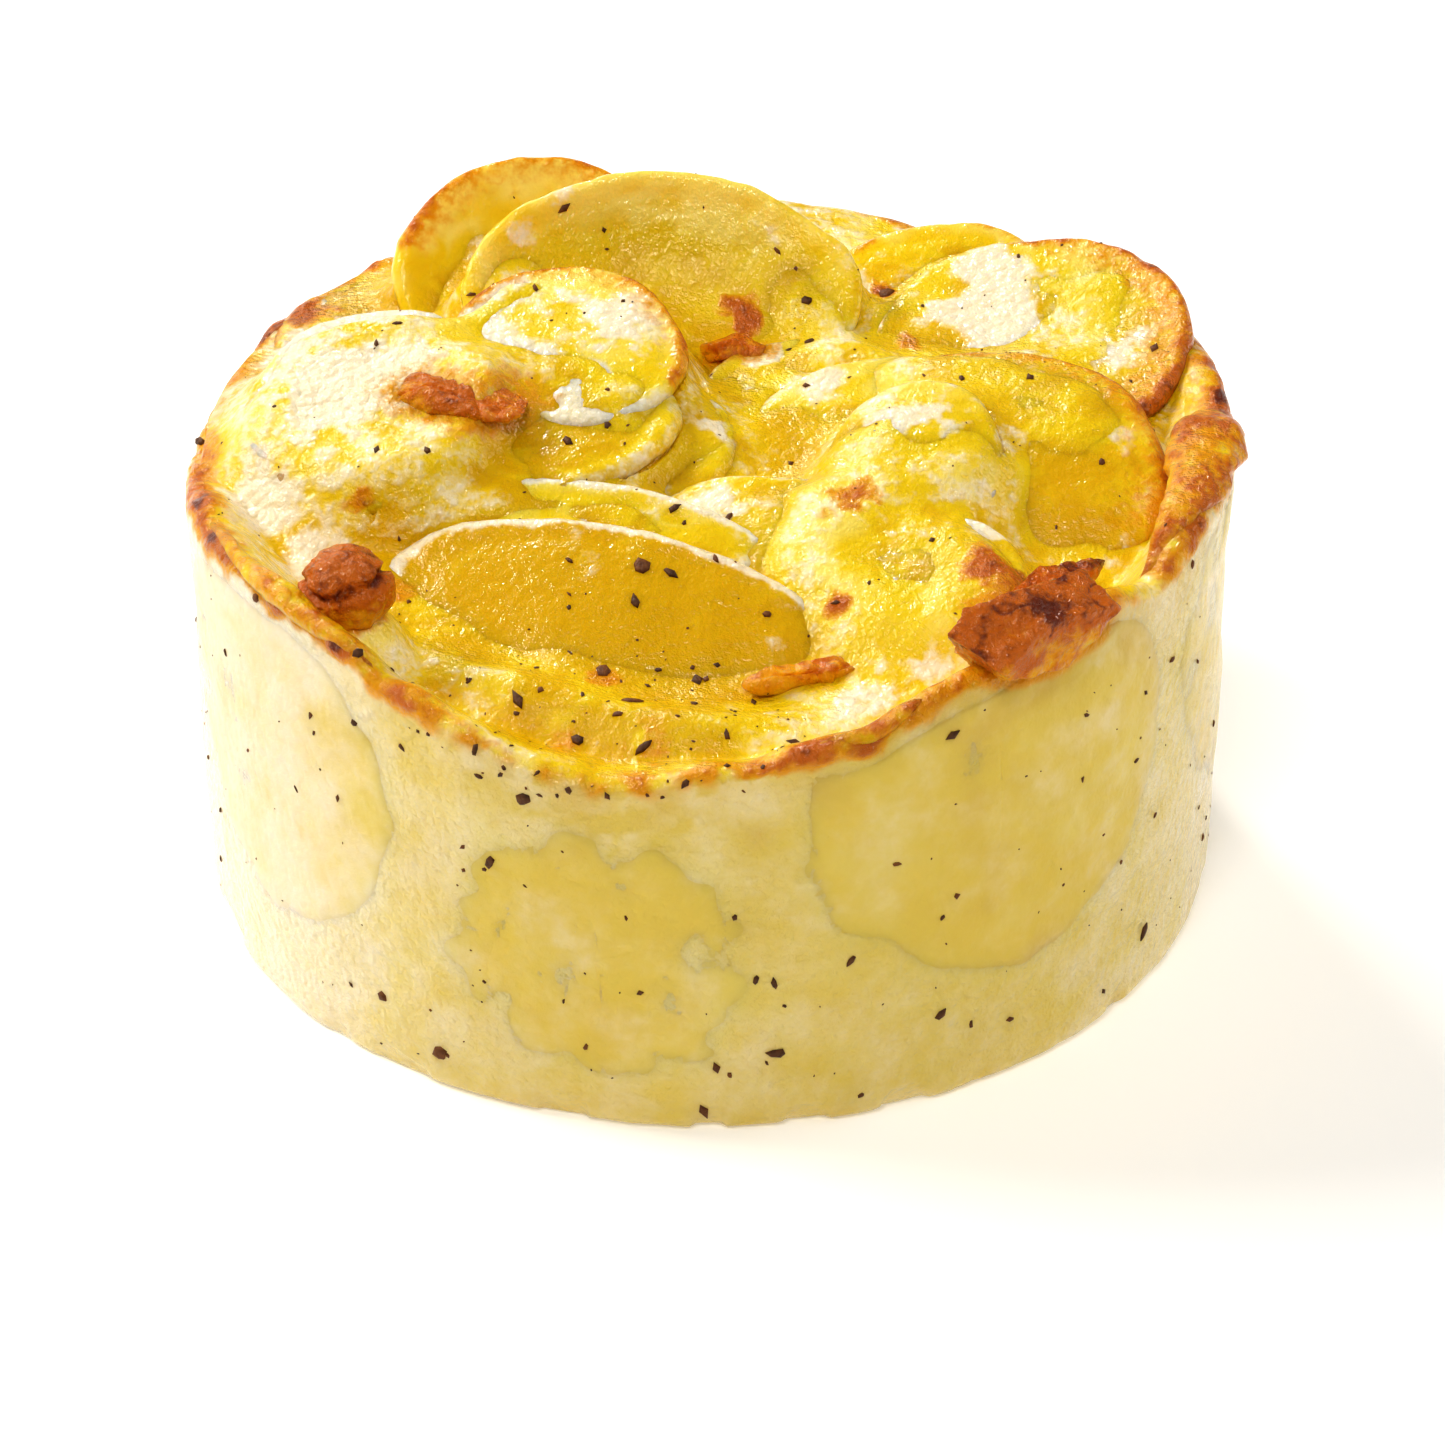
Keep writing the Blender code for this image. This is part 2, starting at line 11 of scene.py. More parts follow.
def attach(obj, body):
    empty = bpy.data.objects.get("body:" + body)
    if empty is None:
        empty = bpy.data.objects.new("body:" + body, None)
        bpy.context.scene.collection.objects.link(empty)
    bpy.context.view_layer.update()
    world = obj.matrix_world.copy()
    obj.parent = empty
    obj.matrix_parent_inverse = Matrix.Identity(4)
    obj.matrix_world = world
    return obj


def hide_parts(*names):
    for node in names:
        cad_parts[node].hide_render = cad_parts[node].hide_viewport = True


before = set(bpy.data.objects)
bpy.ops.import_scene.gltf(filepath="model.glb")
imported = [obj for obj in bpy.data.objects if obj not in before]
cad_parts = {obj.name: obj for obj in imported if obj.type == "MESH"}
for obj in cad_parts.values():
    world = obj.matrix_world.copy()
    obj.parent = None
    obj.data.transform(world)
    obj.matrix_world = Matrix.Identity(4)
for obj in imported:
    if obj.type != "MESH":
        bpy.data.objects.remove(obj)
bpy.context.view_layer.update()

MM = 0.001

# Camera: where it stands, and how the photograph is framed. Lengths in millimetres, the frame in pixels
FRAME_PIXELS = 1445
CAMERA_ELEVATION = 32.5
CAMERA_DISTANCE = 500.0
PIXELS_PER_FOCUS = 6650.0
CENTRE_PIXEL = (705.0, 840.0)
SENSOR_MM = 36.0

# The drum that the mould shaped, in millimetres
BASE_RADIUS = 37.4
RIM_RADIUS = 38.3
RIM_LEVEL = 33.0
FOOT_ROUND = 1.0
RIM_WIDTH = 6.5
RIM_ROUND = 1.2

# The baked cream between the slices
FLOOR_LEVEL = 33.3
FLOOR_FALL = 0.165
FLOOR_RISE = 0.035

SLICE_THICKNESS = 2.0
SLICE_WOBBLE = 0.035

# How mottled the side is beside the top
WALL_GRIT = 0.15

# Mesh detail: points round the drum and a slice, and the spacing of the rows in millimetres
DRUM_COLUMNS = 540
WALL_ROWS = 62
TOP_ROW = 0.42
SLICE_COLUMNS = 176
SLICE_ROWS = 46
WALL_SLICE_COLUMNS = 200
RIDGE_ROW = 0.32
WALL_SLICE_ROWS = 46


class Slice(NamedTuple):
    """A slice on the top. After its form: how deep its yellow is, how much cheese lies on it, how browned
    its edge is and on which side, how pale its edge is, how far melted cheese buries the edge, and up to
    which part of the slope."""

    name: str
    centre: tuple
    rises_to: float
    tilt: float
    half: tuple
    bend: tuple
    turn: float = 0.0
    depth: float = 0.5
    cheese: float = 0.2
    edge_brown: float = 0.2
    brown_at: float = 90.0
    edge_pale: float = 0.5
    melt: float = 0.0
    melt_below: float = 0.5


class WallSlice(NamedTuple):
    """A slice in the moulded side: angle, height, half sizes, how yellow it is and how clear its outline."""

    name: str
    azimuth: float
    level: float
    half: tuple
    depth: float = 0.3
    edge: float = 0.5


TOP_SLICES = (
    Slice("slice_front", (-4.9, -22.2, 29.4), 6, 30, (20.2, 9.8), (-2.8, -1.0), -17,
          depth=1.1, cheese=0.0, edge_brown=0.0, edge_pale=1.2, melt=1.8, melt_below=-0.1),
    Slice("slice_front_second", (-6.8, -16.7, 30.3), 6, 30, (19.8, 9.8), (-2.8, -1.0), -13,
          depth=0.42, cheese=0.3, edge_brown=0.0, edge_pale=1.2, melt=0.0),
    Slice("slice_left_top", (-24.0, 0.4, 37.0), 20, 14, (9.4, 10.8), (-0.6, -0.8),
          depth=0.45, cheese=0.62, edge_brown=0.3, brown_at=-60, edge_pale=0.0, melt=1.5),
    Slice("slice_left_middle", (-10.3, 6.4, 38.5), 10, 14, (8.8, 9.0), (-0.5, -0.8),
          depth=0.35, cheese=0.6, edge_brown=0.7, brown_at=80, edge_pale=0.1, melt=0.7),
    Slice("slice_left_under", (-15.2, -1.2, 35.8), 15, 13, (13.0, 8.4), (-0.6, -0.8), 27,
          depth=0.75, cheese=0.1, edge_brown=0.1, edge_pale=0.6, melt=0.3),
    Slice("slice_left_low", (-10.6, 0.8, 34.0), 15, 11, (12.8, 9.4), (-0.6, -0.8), 12,
          depth=0.6, cheese=0.35, edge_brown=0.05, edge_pale=0.5, melt=0.4),
    Slice("slice_front_third", (6.0, -13.6, 32.2), 20, 20, (12.0, 8.0), (-1.2, -1.0),
          depth=0.6, cheese=0.3, edge_brown=0.05, edge_pale=0.8, melt=0.3),
    Slice("slice_right_front", (14.5, -6.6, 35.9), 20, 26, (6.6, 8.4), (-1.6, -2.0),
          depth=0.7, cheese=0.2, edge_brown=0.0, edge_pale=0.3, melt=0.8),
    Slice("slice_right_dome", (20.2, -2.6, 35.0), 30, 21, (14.0, 10.8), (-2.2, -2.0),
          depth=0.7, cheese=0.12, edge_brown=0.7, brown_at=60, edge_pale=0.2, melt=0.5),
    Slice("slice_right_low", (15.0, -17.4, 33.2), 40, 14, (8.4, 7.0), (-1.4, -1.2),
          depth=0.85, cheese=0.55, edge_brown=0.0, edge_pale=0.0, melt=1.8),
    Slice("slice_right_under", (15.4, 0.8, 34.0), 0, 14, (12.4, 9.4), (-1.0, -1.0),
          depth=0.55, cheese=0.2, edge_brown=0.05, edge_pale=0.6, melt=0.5),
    Slice("slice_centre", (8.6, 7.4, 33.8), 0, 6, (8.8, 7.0), (-0.3, -0.3),
          depth=0.4, cheese=0.35, edge_brown=0.1, edge_pale=0.7, melt=0.2),
    Slice("slice_back_middle", (-3.6, 18.6, 35.8), -5, 42, (14.8, 9.4), (2.6, 2.2),
          depth=0.55, cheese=0.0, edge_brown=0.15, brown_at=60, edge_pale=0.4, melt=0.5),
    Slice("slice_back_left", (-12.2, 22.4, 35.7), -18, 46, (11.6, 9.4), (0.6, 1.0),
          depth=0.5, cheese=0.0, edge_brown=0.6, brown_at=80, edge_pale=0.0, melt=0.0),
    Slice("slice_back_right", (24.4, 12.6, 34.8), 40, 12, (12.4, 11.8), (0.5, 1.0),
          depth=0.6, cheese=0.22, edge_brown=0.9, brown_at=40, edge_pale=0.2, melt=0.4),
    Slice("slice_back_right_inner", (17.6, 19.0, 33.2), 12, 14, (10.6, 10.4), (0.5, 1.0),
          depth=0.6, cheese=0.2, edge_brown=0.3, brown_at=90, edge_pale=0.3, melt=0.7),
    Slice("slice_back_left_low", (-23.6, 17.0, 33.9), -60, 2, (9.6, 8.4), (-0.6, -0.8),
          depth=0.6, cheese=0.3, edge_brown=0.5, brown_at=90, edge_pale=0.2, melt=0.8),
    Slice("slice_back", (1.5, 28.4, 32.2), 170, 4, (11.0, 6.4), (-0.6, -0.4),
          depth=0.6, cheese=0.25, edge_brown=0.3, edge_pale=0.3, melt=0.8),
)

WALL_SLICES = (
    WallSlice("wall_slice_left", -57, 22.0, (16.0, 15.5), 0.05, 0.55),
    WallSlice("wall_slice_right_front", 32.0, 25.4, (17.4, 17.8), 0.34, 0.8),
    WallSlice("wall_slice_front", -12, 14.0, (13.0, 12.5), 0.05, 0.0),
    WallSlice("wall_slice_right", 81, 26.0, (14.5, 18.0), 0.45),
    WallSlice("wall_slice_back_right", 127, 22.0, (16.0, 16.5), 0.4),
    WallSlice("wall_slice_back", 173, 20.0, (15.0, 16.0), 0.3),
    WallSlice("wall_slice_back_left", -141, 24.0, (15.0, 16.5), 0.45),
    WallSlice("wall_slice_far_left", -99, 19.0, (12.5, 15.0), 0.25),
)

# Height of the rim, and how far the wall stands out of true round, against the angle round the drum
RIM_HEIGHTS = (
    (-180, 32.5), (-165, 33.5), (-150, 35.0), (-138, 34.2), (-125, 33.4), (-110, 32.4), (-95, 32.4),
    (-84, 33.2), (-75, 34.8), (-58, 35.5), (-42, 34.3), (-34, 32.5), (-27, 30.9), (-19, 29.5), (-10, 28.9),
    (0, 29.7), (15, 31.7), (27, 34.4), (40, 36.4), (48, 36.2), (56, 34.2), (66, 37.0), (82, 37.3),
    (95, 36.4), (115, 36.4), (128, 36.8), (138, 35.4), (146, 33.6), (154, 32.4), (163, 30.8), (172, 31.6),
    (180, 32.5),
)
OUT_OF_ROUND = (
    (-180, 0.0), (-130, -0.3), (-90, -0.6), (-50, 0.3), (-20, 0.5), (10, 0.4), (60, 0.0), (90, -0.2),
    (180, 0.0),
)

# How strongly the rim is browned and how cheesy it is inside, and how white and how yellow the side is,
# against the angle round the drum. The side's white and yellow are partly painted light and shade: whitest
# on the left, where the light falls, and deepest yellow at the front.
RIM_BROWN = (
    (-180, 0.45), (-150, 0.5), (-135, 0.8), (-112, 0.9), (-100, 0.35), (-88, 0.5), (-76, 0.75), (-45, 0.85),
    (-34, 0.6), (-28, 0.3), (-8, 0.35), (4, 0.45), (12, 0.7), (24, 0.7), (30, 0.4), (48, 0.4), (54, 0.1),
    (60, 0.7), (70, 0.9), (96, 0.9), (108, 0.6), (120, 0.85), (145, 0.9), (160, 0.4), (180, 0.45),
)
RIM_CHEESE = (
    (-180, 0.5), (-130, 0.4), (-112, 0.7), (-60, 0.5), (-48, 0.25), (-32, 0.05), (-5, 0.05), (8, 0.2),
    (20, 0.45), (42, 0.4), (54, 0.3), (75, 0.6), (110, 0.3), (140, 0.3), (180, 0.5),
)
WALL_WHITE_AND_PAINTED_LIGHT = (
    (-180, 0.50), (-120, 0.60), (-85, 0.80), (-55, 0.70), (-30, 0.50), (-5, 0.44), (30, 0.42), (60, 0.50),
    (85, 0.6), (120, 0.55), (180, 0.55),
)
WALL_YELLOW_AND_PAINTED_SHADE = (
    (-180, 0.35), (-120, 0.25), (-85, 0.15), (-55, 0.2), (-30, 0.4), (-5, 0.5), (30, 0.5), (60, 0.45),
    (85, 0.35), (120, 0.3), (180, 0.35),
)


# Where the outlines of the side's slices show best, as an angle on each: 0 is its right and 90 its top
CRISP_SIDE = -25

# The way in which the fold of a capped blister faces
CAP_TILT = (-0.15, 0.25, 0.95)


class Crag(NamedTuple):
    """A browned blister: its half sizes, turn, unevenness, browning, and the depth and spacing of its
    creases. Where facets isn't 0 it is a crisp lump with about so many flats, and a capped one has one fold
    all round."""

    name: str
    owner: str
    centre: tuple
    half: tuple
    turn: float
    rough: float
    burnt: float
    fold: float = 0.25
    fold_size: float = 1.8
    facets: int = 0
    capped: bool = False


BODY = "gratin_body"
CRAGS = (
    Crag("blister_round", BODY, (-25.2, -22.6, 35.2), (3.2, 3.0, 3.1), 0, 0.16, 1.0, 0.55, 2.8, 0, True),
    Crag("blister_burnt", "wall_slice_right_front", (22.4, -29.4, 36.2), (6.8, 3.6, 3.6), 40,
         0.08, 1.05, 0.12, 2.4, 11),
    Crag("blister_left", "slice_left_top", (-17.2, -1.2, 38.4), (5.0, 3.4, 1.3), -12, 0.28, 0.85, 0.35, 2.0),
    Crag("blister_back", BODY, (2.4, 12.8, 35.0), (2.2, 1.5, 1.3), 0, 0.3, 1.0, 0.2, 1.5, 9),
    Crag("blister_dark", BODY, (23.0, -20.6, 33.8), (4.6, 1.4, 1.6), 34, 0.3, 1.15, 0.2, 1.5, 11),
    Crag("blister_front", BODY, (6.8, -25.6, 29.9), (3.6, 1.2, 0.8), 16, 0.25, 0.55, 0.3, 1.4),
)


class Ridge(NamedTuple):
    """A crust along the rim, from one angle round the drum to another, and how far inside it lies."""

    name: str
    owner: str
    start: float
    end: float
    inset: float
    half_width: float
    half_height: float
    burnt: float


RIDGES = (
    Ridge("crust_right", "wall_slice_right", 55, 92, 2.0, 2.5, 1.2, 0.66),
    Ridge("crust_left", "wall_slice_left", -78, -36, 1.0, 0.9, 0.7, 0.6),
    Ridge("crust_front", BODY, 9, 24, 1.0, 0.9, 0.7, 0.55),
    Ridge("crust_back_right", "wall_slice_back_right", 112, 146, 1.3, 1.2, 0.8, 0.75),
    Ridge("crust_back_left", "wall_slice_back_left", -132, -112, 1.4, 1.4, 1.0, 0.85),
)


# Patches that the photograph shows, of each kind: pixel, radius in millimetres and strength
SPOTS = {
    "brown": (
        (740, 320, 2.2, 1.0), (885, 293, 1.5, 0.9), (908, 344, 1.5, 0.7), (850, 497, 2.2, 0.7),
        (837, 602, 1.1, 0.9), (995, 565, 2.6, 1.0), (600, 675, 1.3, 0.6), (560, 742, 2.2, 0.35),
        (650, 745, 2.4, 0.35), (355, 500, 1.2, 0.6), (300, 310, 3.0, 0.8), (395, 590, 1.6, 0.5),
    ),
    "cheese": (
        (262, 500, 4.0, 0.8), (300, 560, 3.5, 0.8), (712, 430, 2.2, 1.0), (760, 350, 3.2, 0.9),
        (1060, 330, 4.0, 0.55), (1130, 350, 4.0, 0.6), (930, 410, 3.4, 0.8), (1010, 440, 2.6, 0.6),
        (930, 660, 2.6, 0.9), (975, 590, 1.6, 0.8), (860, 700, 3.0, 0.7), (620, 320, 4.4, 0.8),
        (340, 380, 8.0, 0.9), (900, 560, 4.0, 0.6), (560, 190, 1.6, 0.6), (520, 235, 1.8, 0.7),
    ),
    # Deeper yellow: partly the amber of thick cream, partly painted shade in the hollows and the gaps between
    # slices.
    "amber_and_shade": (
        (740, 400, 1.6, 1.0), (738, 440, 1.6, 1.0), (1090, 520, 5.0, 0.9), (900, 615, 4.0, 0.6),
        (420, 610, 3.5, 0.6), (780, 715, 3.0, 0.6), (560, 640, 9.0, 0.5), (470, 650, 4.0, 1.0),
        (540, 690, 4.0, 1.0), (700, 700, 4.0, 1.0), (1000, 610, 6.0, 0.8), (1060, 560, 6.0, 0.7),
        (250, 540, 3.0, 0.7), (520, 730, 5.0, 1.0), (600, 740, 6.0, 1.0), (680, 735, 6.0, 0.9),
        (1000, 540, 5.0, 0.9), (960, 600, 3.0, 0.8),
    ),
    "bare": (
        (690, 250, 9.0, 0.9), (470, 650, 4.0, 1.0), (720, 690, 4.0, 0.9), (1000, 610, 8.0, 0.9),
        (930, 600, 6.0, 0.8), (880, 560, 5.0, 0.6), (560, 715, 6.0, 1.0), (650, 725, 6.0, 1.0),
        (980, 560, 5.0, 0.9), (1090, 480, 6.0, 0.8), (700, 440, 2.0, 0.9),
    ),
}

# Pepper that the photograph shows: pixel and size in millimetres
PEPPER_SEEN = (
    (600, 670, 1.2), (630, 701, 1.3), (695, 680, 1.3), (515, 700, 1.2), (575, 740, 0.9), (640, 747, 1.0),
    (632, 601, 0.9), (640, 565, 1.3), (667, 572, 1.0), (567, 560, 0.6), (672, 508, 0.8), (725, 518, 0.7),
    (713, 558, 0.6), (765, 614, 0.6), (885, 293, 1.3), (562, 207, 0.8), (1153, 348, 0.8), (1028, 377, 0.7),
    (960, 378, 0.6), (370, 262, 0.9), (197, 440, 1.0), (565, 440, 1.0), (605, 425, 0.7), (533, 287, 0.6),
    (395, 322, 0.5), (425, 450, 0.7), (805, 300, 0.9), (775, 250, 0.5), (380, 995, 1.0), (437, 1052, 1.4),
    (700, 1110, 1.3), (713, 1068, 0.8), (773, 1053, 1.2), (937, 1015, 0.9), (1140, 933, 1.0), (520, 800, 1.1),
    (487, 862, 0.9), (732, 917, 0.5), (753, 980, 0.6), (472, 750, 0.7), (605, 796, 0.6), (660, 797, 0.4),
    (308, 715, 0.5), (460, 846, 0.5), (715, 665, 0.5), (690, 668, 0.4), (253, 597, 0.8), (355, 652, 0.8),
    (834, 603, 0.6), (1080, 780, 0.4), (968, 1025, 0.5), (583, 1047, 0.5), (1195, 662, 0.5), (1190, 565, 0.6),
    (808, 341, 0.8), (950, 735, 0.9), (792, 743, 0.8), (867, 583, 0.4), (930, 540, 0.5), (1225, 345, 0.7),
)
PEPPER_RULED = 420

# Where the photograph shows pepper gathered: the middle of the patch, its reach in pixels, and the number
PEPPER_PATCH = (590, 725)
PEPPER_REACH = (200, 75)
PEPPER_GATHERED = 70
PEPPER_SEED = 5


# Numbers and noise

def smooth_step(low, high, value):
    """0 below the first number, 1 above the second, and eased between them."""
    t = np.clip((value - low) / (high - low), 0.0, 1.0)
    return t * t * (3 - 2 * t)


def listed(values, azimuth):
    """The value at angles round the drum, eased between the listed ones."""
    azimuth = (np.asarray(azimuth, float) + 180) % 360 - 180
    angles, heights = (np.array(column, float) for column in zip(*values))
    k = np.clip(np.searchsorted(angles, azimuth, side="right") - 1, 0, len(angles) - 2)
    return heights[k] + (heights[k + 1] - heights[k]) * smooth_step(angles[k], angles[k + 1], azimuth)


def cell_value(cells, seed):
    """A fixed number from -1 to 1 for each whole-numbered cell."""
    x, y, z = (cells[..., k].astype(np.int64).astype(np.uint32) for k in range(3))
    n = x * np.uint32(73856093) ^ y * np.uint32(19349663) ^ z * np.uint32(83492791)
    n = n ^ np.uint32(seed * 2654435 + 97)
    n = (n ^ (n >> np.uint32(13))) * np.uint32(1274126177)
    n = (n ^ (n >> np.uint32(15))) * np.uint32(2246822519)
    return (n ^ (n >> np.uint32(16))).astype(float) / 2147483647.5 - 1


def noise(points, size, seed=0, octaves=1):
    """Smooth noise from -1 to 1 at points in millimetres. Size is that of its largest bumps."""
    points = np.asarray(points, float)
    total, reach = 0.0, 0.0
    for octave in range(octaves):
        scaled = points / size * 2 ** octave + 31.7 * octave
        base = np.floor(scaled)
        part = scaled - base
        part = part * part * part * (part * (part * 6 - 15) + 10)
        value = 0.0
        for corner in range(8):
            step = np.array([corner & 1, corner >> 1 & 1, corner >> 2 & 1])
            weight = np.prod(np.where(step == 1, part, 1 - part), axis=-1)
            value = value + weight * cell_value(base + step, seed + octave)
        total = total + value * 0.5 ** octave
        reach += 0.5 ** octave
    return total / reach * 1.6


def grains(points, size, seed=0):
    """Rounded grains, 1 in the middle of each and 0 between them."""
    scaled = np.asarray(points, float) / size
    base = np.floor(scaled)
    nearest = np.full(scaled.shape[:-1], 9.0)
    for k in range(27):
        cell = base + np.array([k % 3 - 1, k // 3 % 3 - 1, k // 9 - 1])
        seat = cell + 0.5 + 0.42 * np.stack([cell_value(cell, seed + j) for j in (3, 5, 7)], -1)
        nearest = np.minimum(nearest, np.sum((scaled - seat) ** 2, axis=-1))
    return np.clip(1 - nearest / 0.6, 0, 1)


def soft_max(a, b, width):
    """The larger of two values, eased over where they cross."""
    return 0.5 * (a + b + np.sqrt((a - b) ** 2 + width * width))


# Form

def rim_height(azimuth):
    """Height of the uneven rim at angles round the drum."""
    angle = np.radians(azimuth)
    around = np.stack([np.sin(angle), np.cos(angle), 0 * azimuth], -1) * RIM_RADIUS
    return listed(RIM_HEIGHTS, azimuth) + 0.35 * noise(around, 3.2, 41, 2)


def on_wall(azimuth, z, outwards):
    """Points at angles round the drum and heights, so far out of its wall."""
    radius = BASE_RADIUS + (RIM_RADIUS - BASE_RADIUS) * z / RIM_LEVEL
    radius = radius + listed(OUT_OF_ROUND, azimuth) + outwards
    angle = np.radians(azimuth)
    return np.stack([radius * np.sin(angle), -radius * np.cos(angle), z + 0 * radius], -1)


def wall_relief(azimuth, z):
    """How far the moulded side bulges or dips: broad swells, and small pits and creases."""
    at = on_wall(azimuth, z, 0.0)
    swell = 0.22 * noise(at, 13.0, 2) + 0.10 * noise(at, 4.0, 3, 2)
    upright = np.stack([at[..., 0], at[..., 1], at[..., 2] * 0.22], -1)
    crease = 1 - np.abs(noise(upright, 4.6, 9, 2))
    pits = smooth_step(0.62, 0.95, noise(at, 1.5, 12, 2))
    foot = smooth_step(3.2, 0.0, z) * smooth_step(0.15, 0.7, noise(at, 3.4, 17))
    return swell - 0.05 * smooth_step(0.93, 1.0, crease) - 0.07 * pits - 0.5 * foot


def outline(angle):
    """How far out of true round a slice is at an angle."""
    return 1 + SLICE_WOBBLE * (np.cos(2 * angle + 1) + 0.6 * np.cos(3 * angle + 2) + 0.3 * np.cos(5 * angle))


def slice_axes(piece):
    """(across, up the slope, out of the face) of a top slice."""
    rise, tilt = math.radians(piece.rises_to), math.radians(piece.tilt)
    heading = np.array([math.sin(rise), math.cos(rise), 0.0])
    up = np.array([0.0, 0.0, 1.0])
    across = np.array([math.cos(rise), -math.sin(rise), 0.0])
    along = heading * math.cos(tilt) + up * math.sin(tilt)
    return across, along, up * math.cos(tilt) - heading * math.sin(tilt)


def slice_points(piece, angle, share, height):
    """Points of a top slice: angle, share of the way to its edge, and height over its middle layer."""
    across, along, out = slice_axes(piece)
    turn = math.radians(piece.turn)
    reach = share * outline(angle)
    x, y = reach * np.cos(angle), reach * np.sin(angle)
    u, v = x * piece.half[0], y * piece.half[1]
    bend = piece.bend[0] * x * x + piece.bend[1] * y * y + height
    u, v = u * math.cos(turn) - v * math.sin(turn), u * math.sin(turn) + v * math.cos(turn)
    return np.array(piece.centre) + u[..., None] * across + v[..., None] * along + bend[..., None] * out


def over_slice(piece, x, y):
    """(height of the middle layer over points of the plan, share of the way to the edge, share uphill)."""
    rise, tilt, turn = (math.radians(a) for a in (piece.rises_to, piece.tilt, piece.turn))
    dx, dy = x - piece.centre[0], y - piece.centre[1]
    across = dx * math.cos(rise) - dy * math.sin(rise)
    ahead = dx * math.sin(rise) + dy * math.cos(rise)
    layer = 0.0
    for _ in range(4):
        along = (ahead + layer * math.sin(tilt)) / math.cos(tilt)
        p = (across * math.cos(turn) + along * math.sin(turn)) / piece.half[0]
        q = (along * math.cos(turn) - across * math.sin(turn)) / piece.half[1]
        layer = piece.bend[0] * np.minimum(1, p * p) + piece.bend[1] * np.minimum(1, q * q)
    share = np.hypot(p, q) / outline(np.arctan2(q, p))
    return piece.centre[2] + along * math.sin(tilt) + layer * math.cos(tilt), share, along / max(piece.half)


def cream_height(x, y):
    """Height of the baked cream: its floor, the rim round it, and the fillets that climb the slices."""
    radius = np.hypot(x, y)
    azimuth = np.degrees(np.arctan2(x, -y))
    at = np.stack([x, y, 0 * x], -1)
    floor = FLOOR_LEVEL + y * np.where(y > 0, FLOOR_RISE, FLOOR_FALL) + 0.45 * noise(at, 8.0, 21, 2)
    edge = RIM_RADIUS + listed(OUT_OF_ROUND, azimuth) - radius
    height = floor + (rim_height(azimuth) - floor) * smooth_step(RIM_WIDTH, 1.2, edge)
    for piece in TOP_SLICES:
        middle, share, uphill = over_slice(piece, x, y)
        outside = np.maximum(0, share - 0.97) * min(piece.half)
        steep = math.tan(math.radians(piece.tilt))
        fillet = middle - 0.35 - (1.1 + steep) * outside - 0.5 * smooth_step(0.0, 1.2, outside)
        free = middle - SLICE_THICKNESS / 2 - 0.3 - 2.6 * smooth_step(0.62, 1.04, share)
        free = free - 2.5 * steep * outside
        under = fillet + (free - fillet) * smooth_step(0.1, 0.6, uphill) * (piece.tilt > 20)
        height = soft_max(height, np.where(outside < 4.5, under, -99.0), 0.35)
    for crag in CRAGS:
        share = np.hypot(x - crag.centre[0], y - crag.centre[1]) / max(crag.half)
        foot = crag.centre[2] - 0.5 * crag.half[2] - 4.0 * smooth_step(0.5, 1.9, share)
        height = soft_max(height, np.where((share < 1.9) & (crag.owner == BODY), foot, -99.0), 0.3)
    return height


# How much of the film of cheese is off the raised edges of slices, in millimetres
BARE_CREST = 1.3


def layers_height(x, y):
    """(highest of the bare cream and the slices, the cheese on the highest one, how far edges are buried)."""
    at = np.stack([x, y, 0 * x], -1)
    height = FLOOR_LEVEL + y * np.where(y > 0, FLOOR_RISE, FLOOR_FALL) + 0.45 * noise(at, 8.0, 21, 2)
    cheese, melt = np.full(x.shape, 0.45), np.zeros(x.shape)
    for piece in TOP_SLICES:
        middle, share, uphill = over_slice(piece, x, y)
        upper = np.where(share < 1, middle + SLICE_THICKNESS / 2, -99.0)
        low_side = smooth_step(piece.melt_below + 0.25, piece.melt_below - 0.25, uphill)
        ring = np.exp(-((share - 1) * min(piece.half) / 3.2) ** 2) * low_side
        crest = np.exp(-((share - 1) * min(piece.half) / 1.8) ** 2) * smooth_step(0.0, 0.35, uphill)
        buried = np.where(upper > height, 0, melt) + piece.melt * ring - BARE_CREST * piece.edge_pale * crest
        melt = np.where(share < 1.4, buried, melt)
        cheese = np.where(upper > height, piece.cheese, cheese)
        height = np.maximum(height, upper)
    return height, cheese, np.minimum(melt, 1.8)


def blurred(values, steps):
    """A square map softened by a bell-shaped filter."""
    reach = 3 * steps
    bell = np.exp(-0.5 * (np.arange(-reach, reach + 1) / steps) ** 2)
    bell /= bell.sum()

    def soften(row):
        return np.convolve(np.pad(row, reach, mode="edge"), bell, "valid")

    for axis in (0, 1):
        values = np.apply_along_axis(soften, axis, values)
    return values


MAP_STEP = 0.4
MAP_HALF = 100
MAP_AT = np.arange(-MAP_HALF, MAP_HALF + 1) * MAP_STEP
HEIGHT_MAP, CHEESE_MAP, MELT_MAP = layers_height(*np.meshgrid(MAP_AT, MAP_AT, indexing="ij"))
HEIGHT_MAP, CHEESE_MAP, MELT_MAP = blurred(HEIGHT_MAP, 4), blurred(CHEESE_MAP, 4), blurred(MELT_MAP, 2)


def sampled(values, x, y):
    """A map of the plan read between its points."""
    u, v = x / MAP_STEP + MAP_HALF, y / MAP_STEP + MAP_HALF
    i, j = np.floor(u).astype(int), np.floor(v).astype(int)
    u, v = u - i, v - j
    near = values[i, j] * (1 - v) + values[i, j + 1] * v
    far = values[i + 1, j] * (1 - v) + values[i + 1, j + 1] * v
    return near * (1 - u) + far * u


